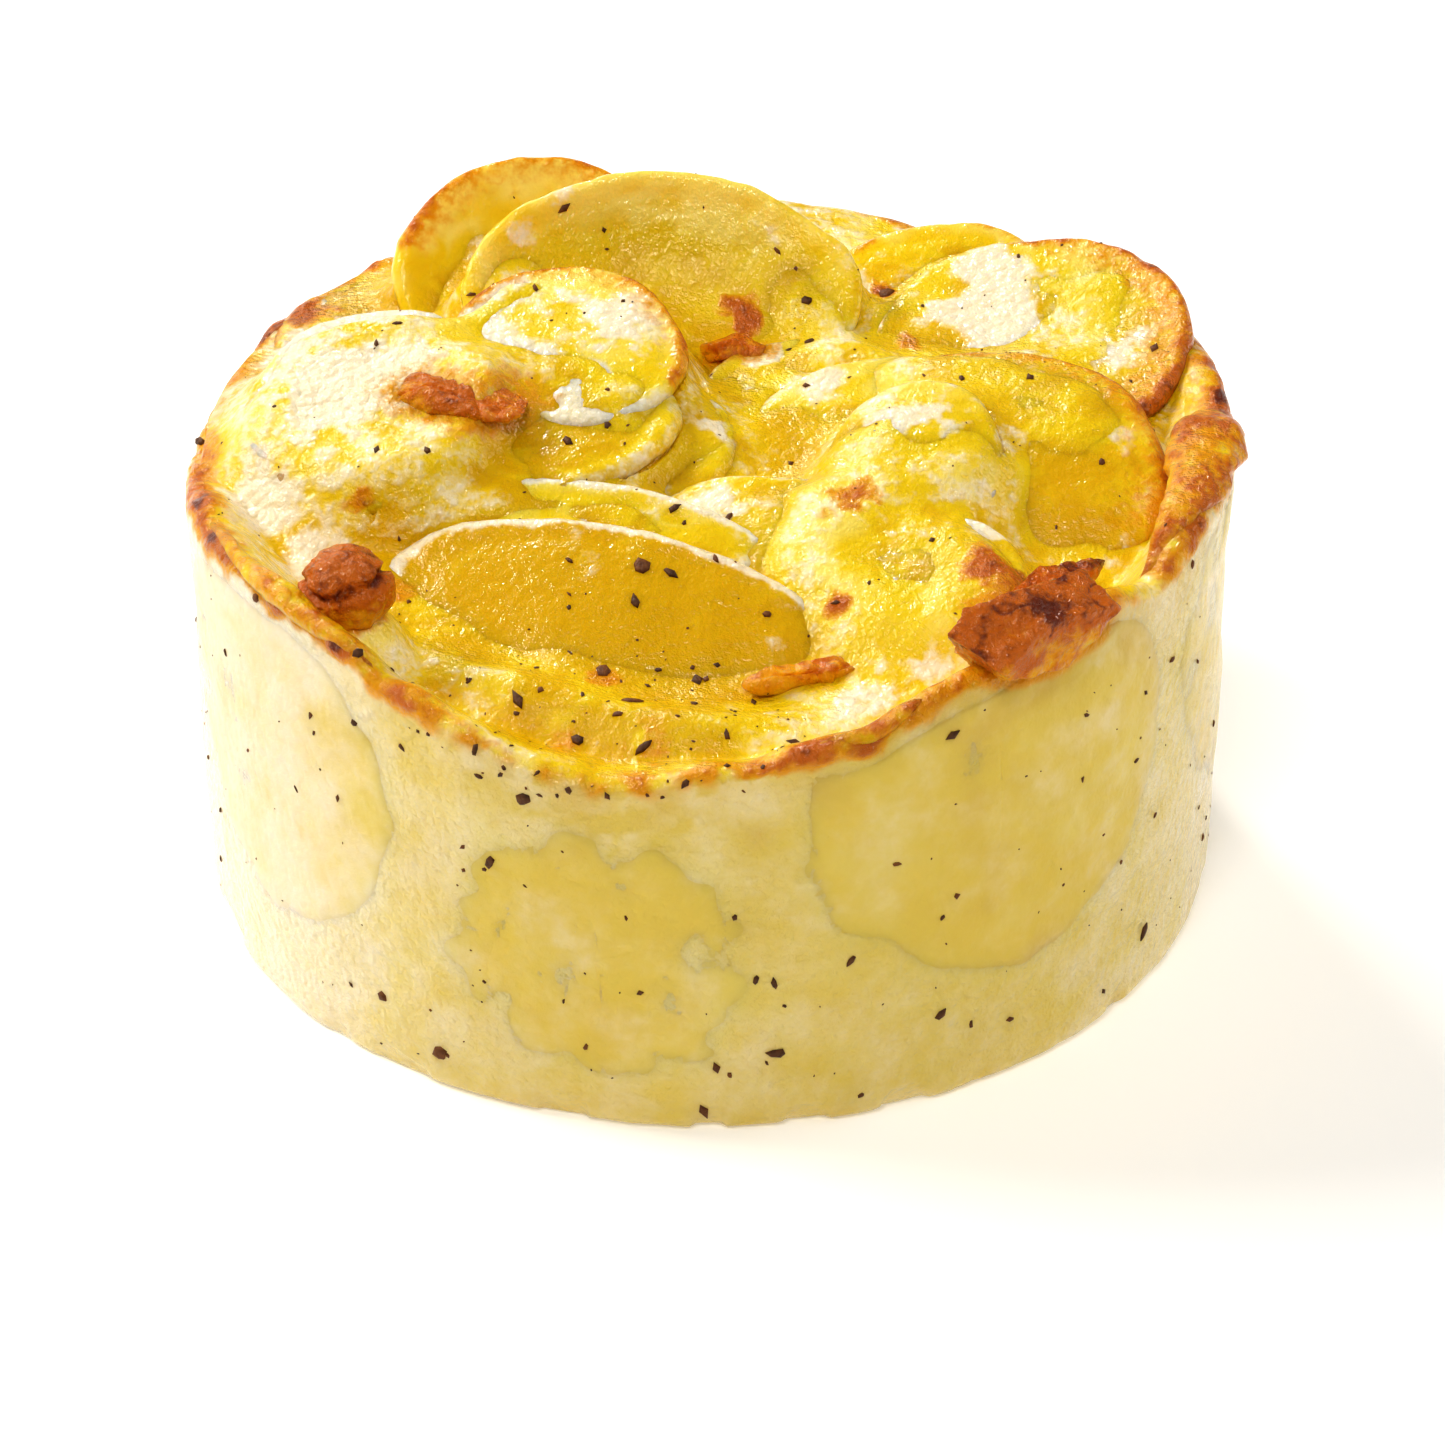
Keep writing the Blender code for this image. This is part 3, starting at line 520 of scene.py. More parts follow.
def cream_top(x, y):
    """(height of what was poured, thickness of the melted cheese): it pools in the corners between slices."""
    cream = cream_height(x, y)
    top = layers_height(x, y)[0]
    at = np.stack([x, y, 0 * x], -1)
    pool = np.clip(sampled(HEIGHT_MAP, x, y) - top, -3.0, 1.25)
    film = 0.9 * (sampled(CHEESE_MAP, x, y) - 0.55) + 0.20 * noise(at, 4.6, 24, 2)
    film = film + (0.13 * grains(at, 1.5, 28) + 0.05 * noise(at, 1.0, 29, 2)) * smooth_step(-0.1, 0.4, film)
    film = pool + np.minimum(film, 0.7) + sampled(MELT_MAP, x, y)
    return np.where(film > -0.5, np.maximum(cream, top + film), cream), film


# Pieces

class Shape(NamedTuple):
    """A piece on its way to a mesh: points in millimetres, faces, and its material's values at each point."""

    points: np.ndarray
    faces: list
    values: dict


def shades(brown, cheese, depth, grit):
    """Values for the material: how browned, how cheesy, how deep a yellow, and how mottled. 1 is the most."""
    even = 0 * brown
    return {"brown": brown, "cheese": cheese + even, "depth": depth + even, "grit": grit + even}


def grid_faces(rows, columns):
    """Quads between the rows of a grid whose columns run all the way round."""
    row, column = np.meshgrid(np.arange(rows - 1), np.arange(columns), indexing="ij")
    after = (column + 1) % columns
    a, b = row * columns + column, row * columns + after
    return np.stack([a, b, b + columns, a + columns], -1).reshape(-1, 4).tolist()


def closed_grid(points, first, last):
    """(all points, faces) of rows that run round, closed by a fan to a point at each end."""
    rows, columns = points.shape[:2]
    flat = np.concatenate([points.reshape(-1, 3), [first, last]])
    faces = grid_faces(rows, columns)
    low, high = rows * columns, rows * columns + 1
    for k in range(columns):
        after = (k + 1) % columns
        faces.append([after, k, low])
        faces.append([(rows - 1) * columns + k, (rows - 1) * columns + after, high])
    return flat, faces


def grid_normals(points):
    """Outward directions of a grid whose columns run round and whose rows go the right-hand way over them."""
    around = np.roll(points, -1, axis=1) - np.roll(points, 1, axis=1)
    along = np.gradient(points, axis=0)
    out = np.cross(around, along)
    return out / np.maximum(np.linalg.norm(out, axis=-1, keepdims=True), 1e-9)


def hollow_shade_edge_light(points):
    """Where points of the top lie: 1 in a corner between pieces, 0 on a flat, -1 on a free edge.
    The colours use it for painted shade in the corners and painted light on free edges.
    """
    x, y = (np.clip(points[..., k], -RIM_RADIUS, RIM_RADIUS) for k in (0, 1))
    return np.clip((sampled(HEIGHT_MAP, x, y) - points[..., 2]) / 1.3, -1, 1)


def drum_shape():
    """The whole drum of baked cream: flat base, moulded side, browned rim and the top between the slices."""
    azimuth = np.arange(DRUM_COLUMNS) * 360 / DRUM_COLUMNS - 180
    rim = rim_height(azimuth)
    rows, sides, tops, films = [], [], [], []

    def add(points, side, top):
        rows.append(points)
        sides.append(np.full(DRUM_COLUMNS, float(side)))
        tops.append(np.full(DRUM_COLUMNS, float(top)))

    for share in (0.35, 0.7, 0.9):
        add(on_wall(azimuth, 0 * azimuth, -BASE_RADIUS * (1 - share)), 0, 0)
    for degrees in (90, 66, 42, 20):
        angle = math.radians(degrees)
        z = 0 * azimuth + FOOT_ROUND * (1 - math.sin(angle))
        add(on_wall(azimuth, z, -FOOT_ROUND * (1 - math.cos(angle))), smooth_step(90, 20, degrees), 0)
    for k in range(WALL_ROWS):
        z = FOOT_ROUND + (rim - RIM_ROUND - FOOT_ROUND) * (k + 0.3) / WALL_ROWS
        add(on_wall(azimuth, z, 0.0), 1, 0)
    for degrees in (8, 26, 44, 62, 80):
        angle = math.radians(degrees)
        z = rim - RIM_ROUND * (1 - math.sin(angle))
        add(on_wall(azimuth, z, -RIM_ROUND * (1 - math.cos(angle))), math.cos(angle), math.sin(angle))
    reach = RIM_RADIUS - RIM_ROUND
    inset = 0.0
    while inset < reach - 0.4:
        start = on_wall(azimuth, rim, -RIM_ROUND)
        scale = 1 - inset / reach
        x, y = start[:, 0] * scale, start[:, 1] * scale
        height, thickness = cream_top(x, y)
        add(np.stack([x, y, height], -1), 0, 1)
        films.append(thickness)
        inset += TOP_ROW
    points = np.stack(rows)
    side, top = np.stack(sides)[..., None], np.stack(tops)[..., None]
    out = grid_normals(points)
    flat_azimuth = np.degrees(np.arctan2(points[..., 0], -points[..., 1]))
    near_rim = smooth_step(3.2, 1.0, RIM_RADIUS - np.hypot(points[..., 0], points[..., 1]))
    crumbs = 0.06 * noise(points, 2.2, 51, 3) + (0.05 + 0.22 * near_rim) * grains(points, 1.3, 61)
    crumbs = crumbs * smooth_step(-0.4, 0.4, noise(points, 5, 66))
    relief = wall_relief(flat_azimuth, points[..., 2])[..., None]
    points = points + out * (side * relief * (1 - top) + top * crumbs[..., None])
    level = points[..., 2]
    points[..., 2] = np.maximum(level, 0)
    flat, faces = closed_grid(points, [0, 0, 0], [0, 0, points[-1, :, 2].mean()])
    film = np.zeros(len(flat))
    film[-2 - len(films) * DRUM_COLUMNS:-2] = np.concatenate(films)

    azimuth_all = np.degrees(np.arctan2(flat[:, 0], -flat[:, 1]))
    radius = np.hypot(flat[:, 0], flat[:, 1])
    below = listed(RIM_HEIGHTS, azimuth_all) - flat[:, 2]
    edge = RIM_RADIUS + listed(OUT_OF_ROUND, azimuth_all) - radius
    is_top = np.concatenate([(top[..., 0]).reshape(-1), [0, 1]])
    ragged = noise(flat, 3.0, 71, 3)
    strength = listed(RIM_BROWN, azimuth_all)
    inside = smooth_step(2.6, 0.2, edge + 0.9 * ragged) + 0.25 * smooth_step(6.0, 2.0, edge + ragged)
    inside = strength * inside * (0.8 + 0.5 * noise(flat, 1.6, 77, 2))
    brown = np.where(is_top > 0.5, inside, rim_brown(flat, azimuth_all, below))
    banked = listed(RIM_CHEESE, azimuth_all) * smooth_step(9.0, 3.0, edge + 2 * noise(flat, 4.0, 83, 2))
    # Painted shade: less cheese and a deeper yellow in the corners between pieces; painted light: more cheese
    # and a paler yellow on free edges.
    corner = hollow_shade_edge_light(flat)
    spread = film - corner + 0.35 * noise(flat, 3.0, 81, 2)
    spread = np.maximum(0.8 * banked, 0.45 * smooth_step(0.1, 1.1, spread)) - 0.35 * np.maximum(0, corner)
    # The side's white is partly painted light: whitest on the left, where the light falls.
    cheese = np.where(is_top > 0.5, spread, listed(WALL_WHITE_AND_PAINTED_LIGHT, azimuth_all) + 0.08 * ragged)
    golden = 0.75 + 0.25 * noise(flat, 7.0, 84, 2) + 0.4 * corner
    depth = np.where(is_top > 0.5, golden, wall_depth(flat, azimuth_all, below))
    return Shape(flat, faces, shades(brown, cheese, depth, np.maximum(WALL_GRIT, is_top)))


def wall_depth(points, azimuth, below):
    """How deep the yellow of the side is: palest at the left and deeper at the front, as painted light
    and painted shade, and deeper under the rim.
    """
    mottle = 0.14 * noise(points, 9.0, 86, 2) + 0.10 * noise(points, 3.0, 88, 2)
    near_rim = smooth_step(7, 0.5, below + 2 * noise(points, 3.0, 71, 3))
    return listed(WALL_YELLOW_AND_PAINTED_SHADE, azimuth) + mottle + 0.35 * near_rim


def rim_brown(points, azimuth, below):
    """How browned the outer side is: a thin crisp line along the rim, and a faint golden band under it."""
    ragged = noise(points, 2.6, 71, 3)
    line = smooth_step(1.9, -0.1, below + 1.0 * ragged) + 0.25 * smooth_step(4.5, 1.0, below + 1.5 * ragged)
    return listed(RIM_BROWN, azimuth) * line * (0.8 + 0.5 * noise(points, 1.6, 77, 2))


def slice_shape(piece, seed):
    """A thin slice with a rounded, slightly ragged edge, and cheese baked on to its upper face."""
    angle = np.arange(SLICE_COLUMNS) * math.tau / SLICE_COLUMNS
    half = SLICE_THICKNESS / 2
    rows = [(share, 1.0) for share in np.linspace(0.02, 0.93, SLICE_ROWS)]
    for degrees in (72, 54, 36, 18, 0, -22, -45, -68, -90):
        a = math.radians(degrees)
        rows.append((0.93 + 0.07 * math.cos(a), math.sin(a)))
    rows += [(share, -1.0) for share in (0.8, 0.6, 0.35, 0.02)]
    share = np.repeat(np.array([row[0] for row in rows])[:, None], SLICE_COLUMNS, 1)
    face = np.repeat(np.array([row[1] for row in rows])[:, None], SLICE_COLUMNS, 1)
    angle = np.broadcast_to(angle, share.shape)
    flat = slice_points(piece, angle, share, half * face)
    uneven = 0.018 * noise(flat, 6.0, seed + 3) + 0.008 * noise(flat, 1.8, seed + 4, 2)
    ragged = 1 + uneven * smooth_step(0.6, 1.0, share)
    thin = 1 - np.where(face > 0, 0.15, 0.75) * smooth_step(0.70, 1.0, share)
    ripple = 0.24 * noise(flat, 7.5, seed, 2) + 0.09 * noise(flat, 2.3, seed + 1, 2)
    lip = 0.14 + 0.16 * piece.edge_pale * grains(flat, 1.1, seed + 2)
    lip = lip * smooth_step(0.80, 0.93, share) * (face > 0)
    film = smooth_step(0.15, 0.75, piece.cheese + 0.45 * noise(flat, 4.2, seed + 7, 2))
    grain = film * (0.10 * grains(flat, 1.4, seed + 8) + 0.05 * grains(flat, 0.8, seed + 9)) * (face > 0.2)
    height = half * face * thin + ripple * (0.4 + 0.6 * share) + lip + grain
    points = slice_points(piece, angle, share * ragged, height)
    flat_points, faces = closed_grid(points[::-1], points[-1].mean(0), points[0].mean(0))
    share, face, angle, film = (v[::-1].reshape(-1) for v in (share, face, angle, film))
    share, face, angle, film = (np.append(v, v[[0, -1]]) for v in (share, face, angle, film))
    ragged = noise(flat_points, 2.4, seed + 11, 3)
    towards = np.cos(angle - math.radians(piece.brown_at)) * 0.5 + 0.5
    rim = smooth_step(0.90, 0.995, share + 0.04 * ragged)
    gilt = smooth_step(0.45, 0.98, share + 0.06 * ragged)
    brown = piece.edge_brown * smooth_step(0.35, 0.8, towards + 0.15 * ragged)
    brown = brown * (0.42 * gilt + 0.6 * rim * (0.8 + 0.5 * ragged))
    pale = piece.edge_pale * smooth_step(0.86, 0.96, share + 0.02 * ragged)
    cheese = np.maximum(film, 0.75 * pale) * (1 - 0.6 * np.clip(brown, 0, 1))
    # Painted shade: less cheese and a deeper yellow in the corners under other pieces; painted light: a paler
    # yellow on free edges.
    corner = hollow_shade_edge_light(flat_points)
    cheese = cheese * (1 - 0.6 * np.maximum(0, corner))
    # Painted light and shade: the yellow is paler towards the upper side of the slice and deeper towards its
    # lower side.
    uphill = share * np.sin(angle + math.radians(piece.turn))
    depth = piece.depth + 0.2 + 0.16 * noise(flat_points, 6.0, seed + 12, 2) + 0.4 * corner - 0.22 * uphill
    return Shape(flat_points, faces, shades(brown, cheese, depth, 1.0))


def wall_slice_shape(piece, seed):
    """A slice pressed flush into the side: a hair proud in the middle, and sunk in at its outline."""
    angle = np.arange(WALL_SLICE_COLUMNS) * math.tau / WALL_SLICE_COLUMNS
    shares = np.concatenate([np.linspace(0.02, 0.93, WALL_SLICE_ROWS), [0.955, 0.98, 1.0, 1.02]])
    share = np.repeat(shares[:, None], WALL_SLICE_COLUMNS, 1)
    angle = np.broadcast_to(angle, share.shape)
    reach = share * outline(angle)
    azimuth = piece.azimuth + np.degrees(reach * np.cos(angle) * piece.half[0] / RIM_RADIUS)
    z = piece.level + reach * np.sin(angle) * piece.half[1]
    top = rim_height(azimuth) - RIM_ROUND
    buried = smooth_step(-1.2, 0.2, z - top)
    z = np.minimum(z, top)
    edge = share + 0.015 * noise(on_wall(azimuth, z, 0.0), 3.0, seed, 2)
    crisp = piece.edge * (0.25 + 0.75 * smooth_step(-0.4, 0.6, np.cos(angle - math.radians(CRISP_SIDE))))
    stand = 0.04 + 0.08 * crisp - (0.16 + 0.24 * crisp) * smooth_step(0.66 + 0.27 * crisp, 1.03, edge)
    stand = stand - 0.5 * buried
    relief = wall_relief(azimuth, z) + 0.06 * noise(on_wall(azimuth, z, 0.0), 3.0, seed + 1, 2)
    outer = on_wall(azimuth, z, relief + stand)
    back = [on_wall(azimuth[k], z[k], -1.6) for k in (len(shares) - 1, len(shares) // 2)]
    points = np.concatenate([outer, np.stack(back)])
    flat, faces = closed_grid(points[::-1], points[-1].mean(0), points[0].mean(0))
    azimuth_all = np.degrees(np.arctan2(flat[:, 0], -flat[:, 1]))
    share = np.concatenate([share, share[[-1, len(shares) // 2]]])[::-1].reshape(-1)
    share = np.append(share, share[[0, -1]])
    below = listed(RIM_HEIGHTS, azimuth_all) - flat[:, 2]
    ragged = noise(flat, 3.0, 71, 3)
    brown = rim_brown(flat, azimuth_all, below)
    # The side's white is partly painted light: whitest on the left, where the light falls.
    cheese = listed(WALL_WHITE_AND_PAINTED_LIGHT, azimuth_all) + 0.10 * ragged - 0.06
    ring = smooth_step(0.66, 0.95, share + 0.05 * noise(flat, 5.0, seed + 4, 2))
    depth = wall_depth(flat, azimuth_all, below) + piece.depth * ring + 0.1 * noise(flat, 7.0, seed + 5, 2)
    return Shape(flat, faces, shades(brown, cheese, depth, WALL_GRIT))


def ball(rows, columns):
    """(directions as a grid of rows that run round, without the two poles)."""
    up = np.linspace(-math.pi / 2, math.pi / 2, rows + 2)[1:-1]
    around = np.arange(columns) * math.tau / columns
    up, around = np.meshgrid(up, around, indexing="ij")
    return np.stack([np.cos(up) * np.cos(around), np.cos(up) * np.sin(around), np.sin(up)], -1)


def crag_shape(crag, seed):
    """A blister of cheese: a lump with folds, craters and a wrinkled skin."""
    way = ball(96, 160)
    size = np.array(crag.half)
    out = way / size
    out /= np.linalg.norm(out, axis=-1, keepdims=True)
    spread = 1 + 0.7 * crag.rough * (crag.half[2] < 2) * noise(way * [1, 1, 0.3], 1.1, seed + 6)
    base = way * size * np.stack([spread, spread, 0 * spread + 1], -1)
    if crag.facets:
        order = np.arange(crag.facets)
        level = 1 - 2 * (order + 0.5) / crag.facets
        spin = order * 2.4 + seed
        aside = np.sqrt(1 - level ** 2)
        flats = np.stack([aside * np.cos(spin), aside * np.sin(spin), level], -1)
        distance = 0.80 + 0.14 * cell_value(np.stack([order, order, order], -1), seed + 41)
        towards = np.maximum(way @ flats.T, 0.05)
        base = base * np.minimum(1.25, (distance / towards).min(-1))[..., None]
    wide = min(crag.half[0], 3.0)
    lumps = 0.5 * crag.rough * wide * noise(base, 4.2, seed)
    crease = np.maximum(0, 1 - 3.2 * np.abs(noise(base, crag.fold_size, seed + 2)))
    if crag.capped:
        seam = way @ np.array(CAP_TILT) + 0.22 * noise(way, 0.9, seed + 7, 2) - 0.25
        crease = np.maximum(0, 1 - np.abs(seam) / 0.16) ** 0.7
    folds = -crag.fold * crease + 0.16 * noise(base, 1.3, seed + 4, 2)
    wrinkle = 0.09 * noise(base, 0.6, seed + 3, 2)
    points = base + out * (lumps + folds + wrinkle)[..., None]
    turn = math.radians(crag.turn)
    x = points[..., 0] * math.cos(turn) - points[..., 1] * math.sin(turn)
    y = points[..., 0] * math.sin(turn) + points[..., 1] * math.cos(turn)
    points = np.stack([x, y, points[..., 2]], -1) + np.array(crag.centre)
    flat, faces = closed_grid(points, points[0].mean(0), points[-1].mean(0))
    high = (flat[:, 2] - crag.centre[2]) / crag.half[2]
    dark = np.append(crease.reshape(-1), [0, 0])
    patches = 0.25 * noise(flat, 2.6, seed + 5, 3) + 0.25 * dark
    brown = crag.burnt * (0.42 + 0.5 * smooth_step(-0.7, 0.7, high) + patches)
    return Shape(flat, faces, shades(brown, 0.0, 0.9, 1.0))


def ridge_shape(ridge, seed):
    """A crisp uneven crust along the rim."""
    length = math.radians(ridge.end - ridge.start) * RIM_RADIUS
    rows, columns = max(40, round(length / RIDGE_ROW)), 56
    share = np.linspace(0, 1, rows + 2)[1:-1][:, None] + np.zeros((1, columns))
    angle = np.arange(columns)[None, :] * math.tau / columns + np.zeros((rows, 1))
    azimuth = ridge.start + (ridge.end - ridge.start) * share
    centre = on_wall(azimuth, rim_height(azimuth) - 0.2, -ridge.inset)
    swell = np.sin(math.pi * share ** 1.5) ** 0.8 * (1 + 0.16 * noise(centre, 5.0, seed))
    way = np.stack([np.cos(angle), np.sin(angle)], -1)
    at = centre + np.stack([way[..., 0], way[..., 0], way[..., 1]], -1) * 1.4
    skin = 1 + 0.16 * noise(at, 2.4, seed + 1, 3)
    outwards = -ridge.inset + ridge.half_width * swell * skin * way[..., 0]
    z = rim_height(azimuth) - 0.2 + ridge.half_height * swell * skin * way[..., 1]
    points = on_wall(azimuth, z, outwards)
    ends = [points[k].mean(0) for k in (0, -1)]
    z = z[:, ::-1]
    flat, faces = closed_grid(points[:, ::-1], ends[0], ends[1])
    high = np.append((z - rim_height(azimuth)).reshape(-1), [0, 0]) / ridge.half_height
    patches = 0.5 * noise(flat, 3.6, seed + 3, 3) + 0.3 * noise(flat, 0.9, seed + 4, 2)
    brown = ridge.burnt * (0.76 + patches + 0.2 * high)
    return Shape(flat, faces, shades(brown, 0.2, 0.8, 1.0))


def add_mesh(name, points, faces, values=None):
    """An object in metres from points in millimetres, with its values for the material."""
    mesh = bpy.data.meshes.new(name)
    mesh.from_pydata((np.asarray(points) * MM).tolist(), [], faces)
    mesh.validate()
    for key, value in (values or {}).items():
        mesh.attributes.new(key, "FLOAT", "POINT").data.foreach_set("value", np.asarray(value, np.float32))
    mesh.shade_smooth()
    piece = bpy.data.objects.new(name, mesh)
    bpy.context.scene.collection.objects.link(piece)
    return piece


# Camera and pixels

ELEVATION = math.radians(CAMERA_ELEVATION)
CAMERA_AT = np.array([0, -math.cos(ELEVATION), math.sin(ELEVATION)]) * CAMERA_DISTANCE


def pixel_ray(pixel):
    """Direction in which the camera sees a pixel of the photograph."""
    ahead = -CAMERA_AT / CAMERA_DISTANCE
    up = np.array([0, math.sin(ELEVATION), math.cos(ELEVATION)])
    right = np.array([1.0, 0, 0])
    way = ahead + right * (pixel[0] - CENTRE_PIXEL[0]) / PIXELS_PER_FOCUS
    way = way + up * (CENTRE_PIXEL[1] - pixel[1]) / PIXELS_PER_FOCUS
    return way / np.linalg.norm(way)


def add_camera():
    """The photograph's view: the lens is turned, so that nothing has to be shifted."""
    lens = bpy.data.cameras.new("camera")
    lens.sensor_width = SENSOR_MM
    lens.lens = PIXELS_PER_FOCUS / FRAME_PIXELS * SENSOR_MM
    middle = FRAME_PIXELS / 2
    sideways = math.atan((middle - CENTRE_PIXEL[0]) / PIXELS_PER_FOCUS)
    upwards = math.atan((CENTRE_PIXEL[1] - middle) / PIXELS_PER_FOCUS)
    camera = bpy.data.objects.new("camera", lens)
    camera.location = Vector(CAMERA_AT) * MM
    camera.rotation_euler = (math.radians(90) - ELEVATION + upwards, 0, -sideways)
    bpy.context.scene.collection.objects.link(camera)
    bpy.context.scene.camera = camera


add_camera()


# Materials

class Nodes:
    """Short names for making shader nodes."""

    def __init__(self, name):
        self.material = bpy.data.materials.new(name)
        self.material.use_nodes = True
        self.tree = self.material.node_tree
        self.shader = self.tree.nodes["Principled BSDF"]
        self.place = self.tree.nodes.new("ShaderNodeTexCoord").outputs["Object"]

    def put(self, target, value):
        """Links an output to a socket, or sets a number or colour on it."""
        if hasattr(value, "is_linked"):
            self.tree.links.new(value, target)
        else:
            target.default_value = value

    def value(self, name):
        """A value that the mesh carries at its points."""
        node = self.tree.nodes.new("ShaderNodeAttribute")
        node.attribute_name = name
        return node.outputs["Fac"]

    def noise(self, size_mm, detail=3.0, rough=0.55, low=0.0, high=1.0):
        """Noise between two numbers, with bumps of about that size."""
        node = self.tree.nodes.new("ShaderNodeTexNoise")
        self.put(node.inputs["Vector"], self.place)
        node.inputs["Scale"].default_value = 1 / (size_mm * MM)
        node.inputs["Detail"].default_value = detail
        node.inputs["Roughness"].default_value = rough
        return self.range(node.outputs["Fac"], 0.25, 0.75, low, high)

    def cells(self, size_mm):
        """Distance to the nearest of scattered points."""
        node = self.tree.nodes.new("ShaderNodeTexVoronoi")
        self.put(node.inputs["Vector"], self.place)
        node.inputs["Scale"].default_value = 1 / (size_mm * MM)
        return node.outputs["Distance"]

    def range(self, value, low, high, to_low=0.0, to_high=1.0, smooth=False):
        """A value brought from one range to another."""
        node = self.tree.nodes.new("ShaderNodeMapRange")
        node.interpolation_type = "SMOOTHSTEP" if smooth else "LINEAR"
        self.put(node.inputs["Value"], value)
        for socket, number in zip(("From Min", "From Max", "To Min", "To Max"), (low, high, to_low, to_high)):
            node.inputs[socket].default_value = number
        return node.outputs["Result"]

    def math(self, operation, a, b=0.0):
        """One sum of two values."""
        node = self.tree.nodes.new("ShaderNodeMath")
        node.operation = operation
        self.put(node.inputs[0], a)
        self.put(node.inputs[1], b)
        return node.outputs[0]

    def mix(self, share, a, b):
        """A colour between two others."""
        node = self.tree.nodes.new("ShaderNodeMix")
        node.data_type = "RGBA"
        self.put(node.inputs["Factor"], share)
        sockets = [socket for socket in node.inputs if socket.type == "RGBA"]
        for socket, colour in zip(sockets, (a, b)):
            self.put(socket, (*colour, 1) if isinstance(colour, tuple) else colour)
        return next(output for output in node.outputs if output.type == "RGBA")

    def bump(self, height, strength, distance_mm):
        """Relief too fine for the mesh."""
        node = self.tree.nodes.new("ShaderNodeBump")
        node.inputs["Strength"].default_value = strength
        node.inputs["Distance"].default_value = distance_mm * MM
        self.put(node.inputs["Height"], height)
        return node.outputs["Normal"]


# Colours of the food, from pale potato to burnt crust
PALE = (0.95, 0.78, 0.19)
YELLOW = (0.87, 0.62, 0.010)
DEEP = (0.72, 0.43, 0.001)
CREAM = (0.95, 0.85, 0.68)
WALL = (0.72, 0.59, 0.22)
GOLD = (0.78, 0.36, 0.006)
RUST = (0.58, 0.16, 0.010)
BURNT = (0.17, 0.028, 0.004)


def food_material(name, coat, subsurface, gloss):
    """Cooked potato or cream: pale to deep yellow, white where cheese lies, gold to burnt where browned."""
    n = Nodes(name)
    n.shader.subsurface_method = "BURLEY"
    fine = n.math("MULTIPLY", n.noise(0.8, 2.0, 0.6, -0.22, 0.22), n.value("grit"))
    depth = n.value("depth")
    colour = n.mix(n.range(depth, 0.0, 0.55, smooth=True), PALE, YELLOW)
    colour = n.mix(n.range(depth, 0.5, 1.1, smooth=True), colour, DEEP)
    colour = n.mix(n.range(n.value("grit"), 0.95, 0.15, 0.0, 0.55), colour, WALL)
    film = n.range(n.math("ADD", n.value("cheese"), fine), 0.30, 0.80, smooth=True)
    colour = n.mix(n.math("MULTIPLY", film, 0.85), colour, CREAM)
    brown = n.math("ADD", n.value("brown"), n.math("MULTIPLY", fine, n.range(n.value("brown"), 0.02, 0.4)))
    colour = n.mix(n.range(brown, 0.10, 0.42, smooth=True), colour, GOLD)
    colour = n.mix(n.range(brown, 0.38, 0.78, smooth=True), colour, RUST)
    colour = n.mix(n.range(brown, 0.84, 1.25, smooth=True), colour, BURNT)
    shader = n.shader.inputs
    n.put(shader["Base Color"], colour)
    n.put(shader["Roughness"], n.range(n.value("cheese"), 0.1, 0.8, 0.32, 0.42))
    shader["Specular IOR Level"].default_value = 0.20
    shader["Subsurface Weight"].default_value = subsurface
    shader["Subsurface Radius"].default_value = (1.0, 0.60, 0.12)
    shader["Subsurface Scale"].default_value = 2.6 * MM
    shader["Coat Weight"].default_value = coat
    shader["Coat Roughness"].default_value = 0.07
    shader["Coat IOR"].default_value = 1.42
    crisp = n.range(n.value("brown"), 0.2, 0.7, 0.22 * gloss, 0.50)
    skin = n.math("MULTIPLY", n.noise(0.8, 3.0, 0.6), crisp)
    grain = n.range(n.cells(0.8), 0.0, 0.7, 1.0, 0.0)
    grain = n.math("MULTIPLY", grain, n.range(n.value("cheese"), 0.25, 0.8, 0.0, 0.26 * gloss))
    normal = n.bump(n.math("ADD", skin, grain), 0.7, 1.0)
    n.put(shader["Normal"], normal)
    n.put(shader["Coat Normal"], normal)
    return n.material


def pepper_material(name, dark, light):
    """Ground pepper, between two colours."""
    n = Nodes(name)
    n.put(n.shader.inputs["Base Color"], n.mix(n.noise(0.5, 3.0), dark, light))
    n.shader.inputs["Roughness"].default_value = 0.55
    n.put(n.shader.inputs["Normal"], n.bump(n.noise(0.25, 3.0), 0.6, 0.1))
    return n.material


# Build

# Where the lights face, in millimetres, and half the width of the floor, in metres
LIT_POINT = (0, 0, 18)
FLOOR_HALF = 4.0

# Each light's place and size in millimetres, its power in watts and its colour
LIGHTS = {
    "key": ((-580, 160, 520), 260, 2.5, (1.0, 0.975, 0.93)),
    "back": ((-260, 640, 500), 150, 2.0, (1.0, 0.985, 0.955)),
    "right": ((640, 160, 380), 460, 1.25, (1.0, 0.985, 0.96)),
    "front": ((-60, -420, 700), 240, 1.75, (1.0, 0.985, 0.96)),
}

# The floor's colour and faint glow, and the surround's
FLOOR_COLOUR = (0.86, 0.845, 0.825, 1)
FLOOR_GLOW = (1.0, 0.985, 0.965, 1)
FLOOR_GLOW_STRENGTH = 0.22
SURROUND_COLOUR = (1.0, 0.99, 0.975, 1)
SURROUND_STRENGTH = 0.14

# The darker and the lighter colour of each kind of flake
PEPPER_COLOURS = {
    "pepper_dark": ((0.045, 0.017, 0.006), (0.19, 0.075, 0.018)),
    "pepper_brown": ((0.10, 0.030, 0.008), (0.26, 0.10, 0.02)),
}


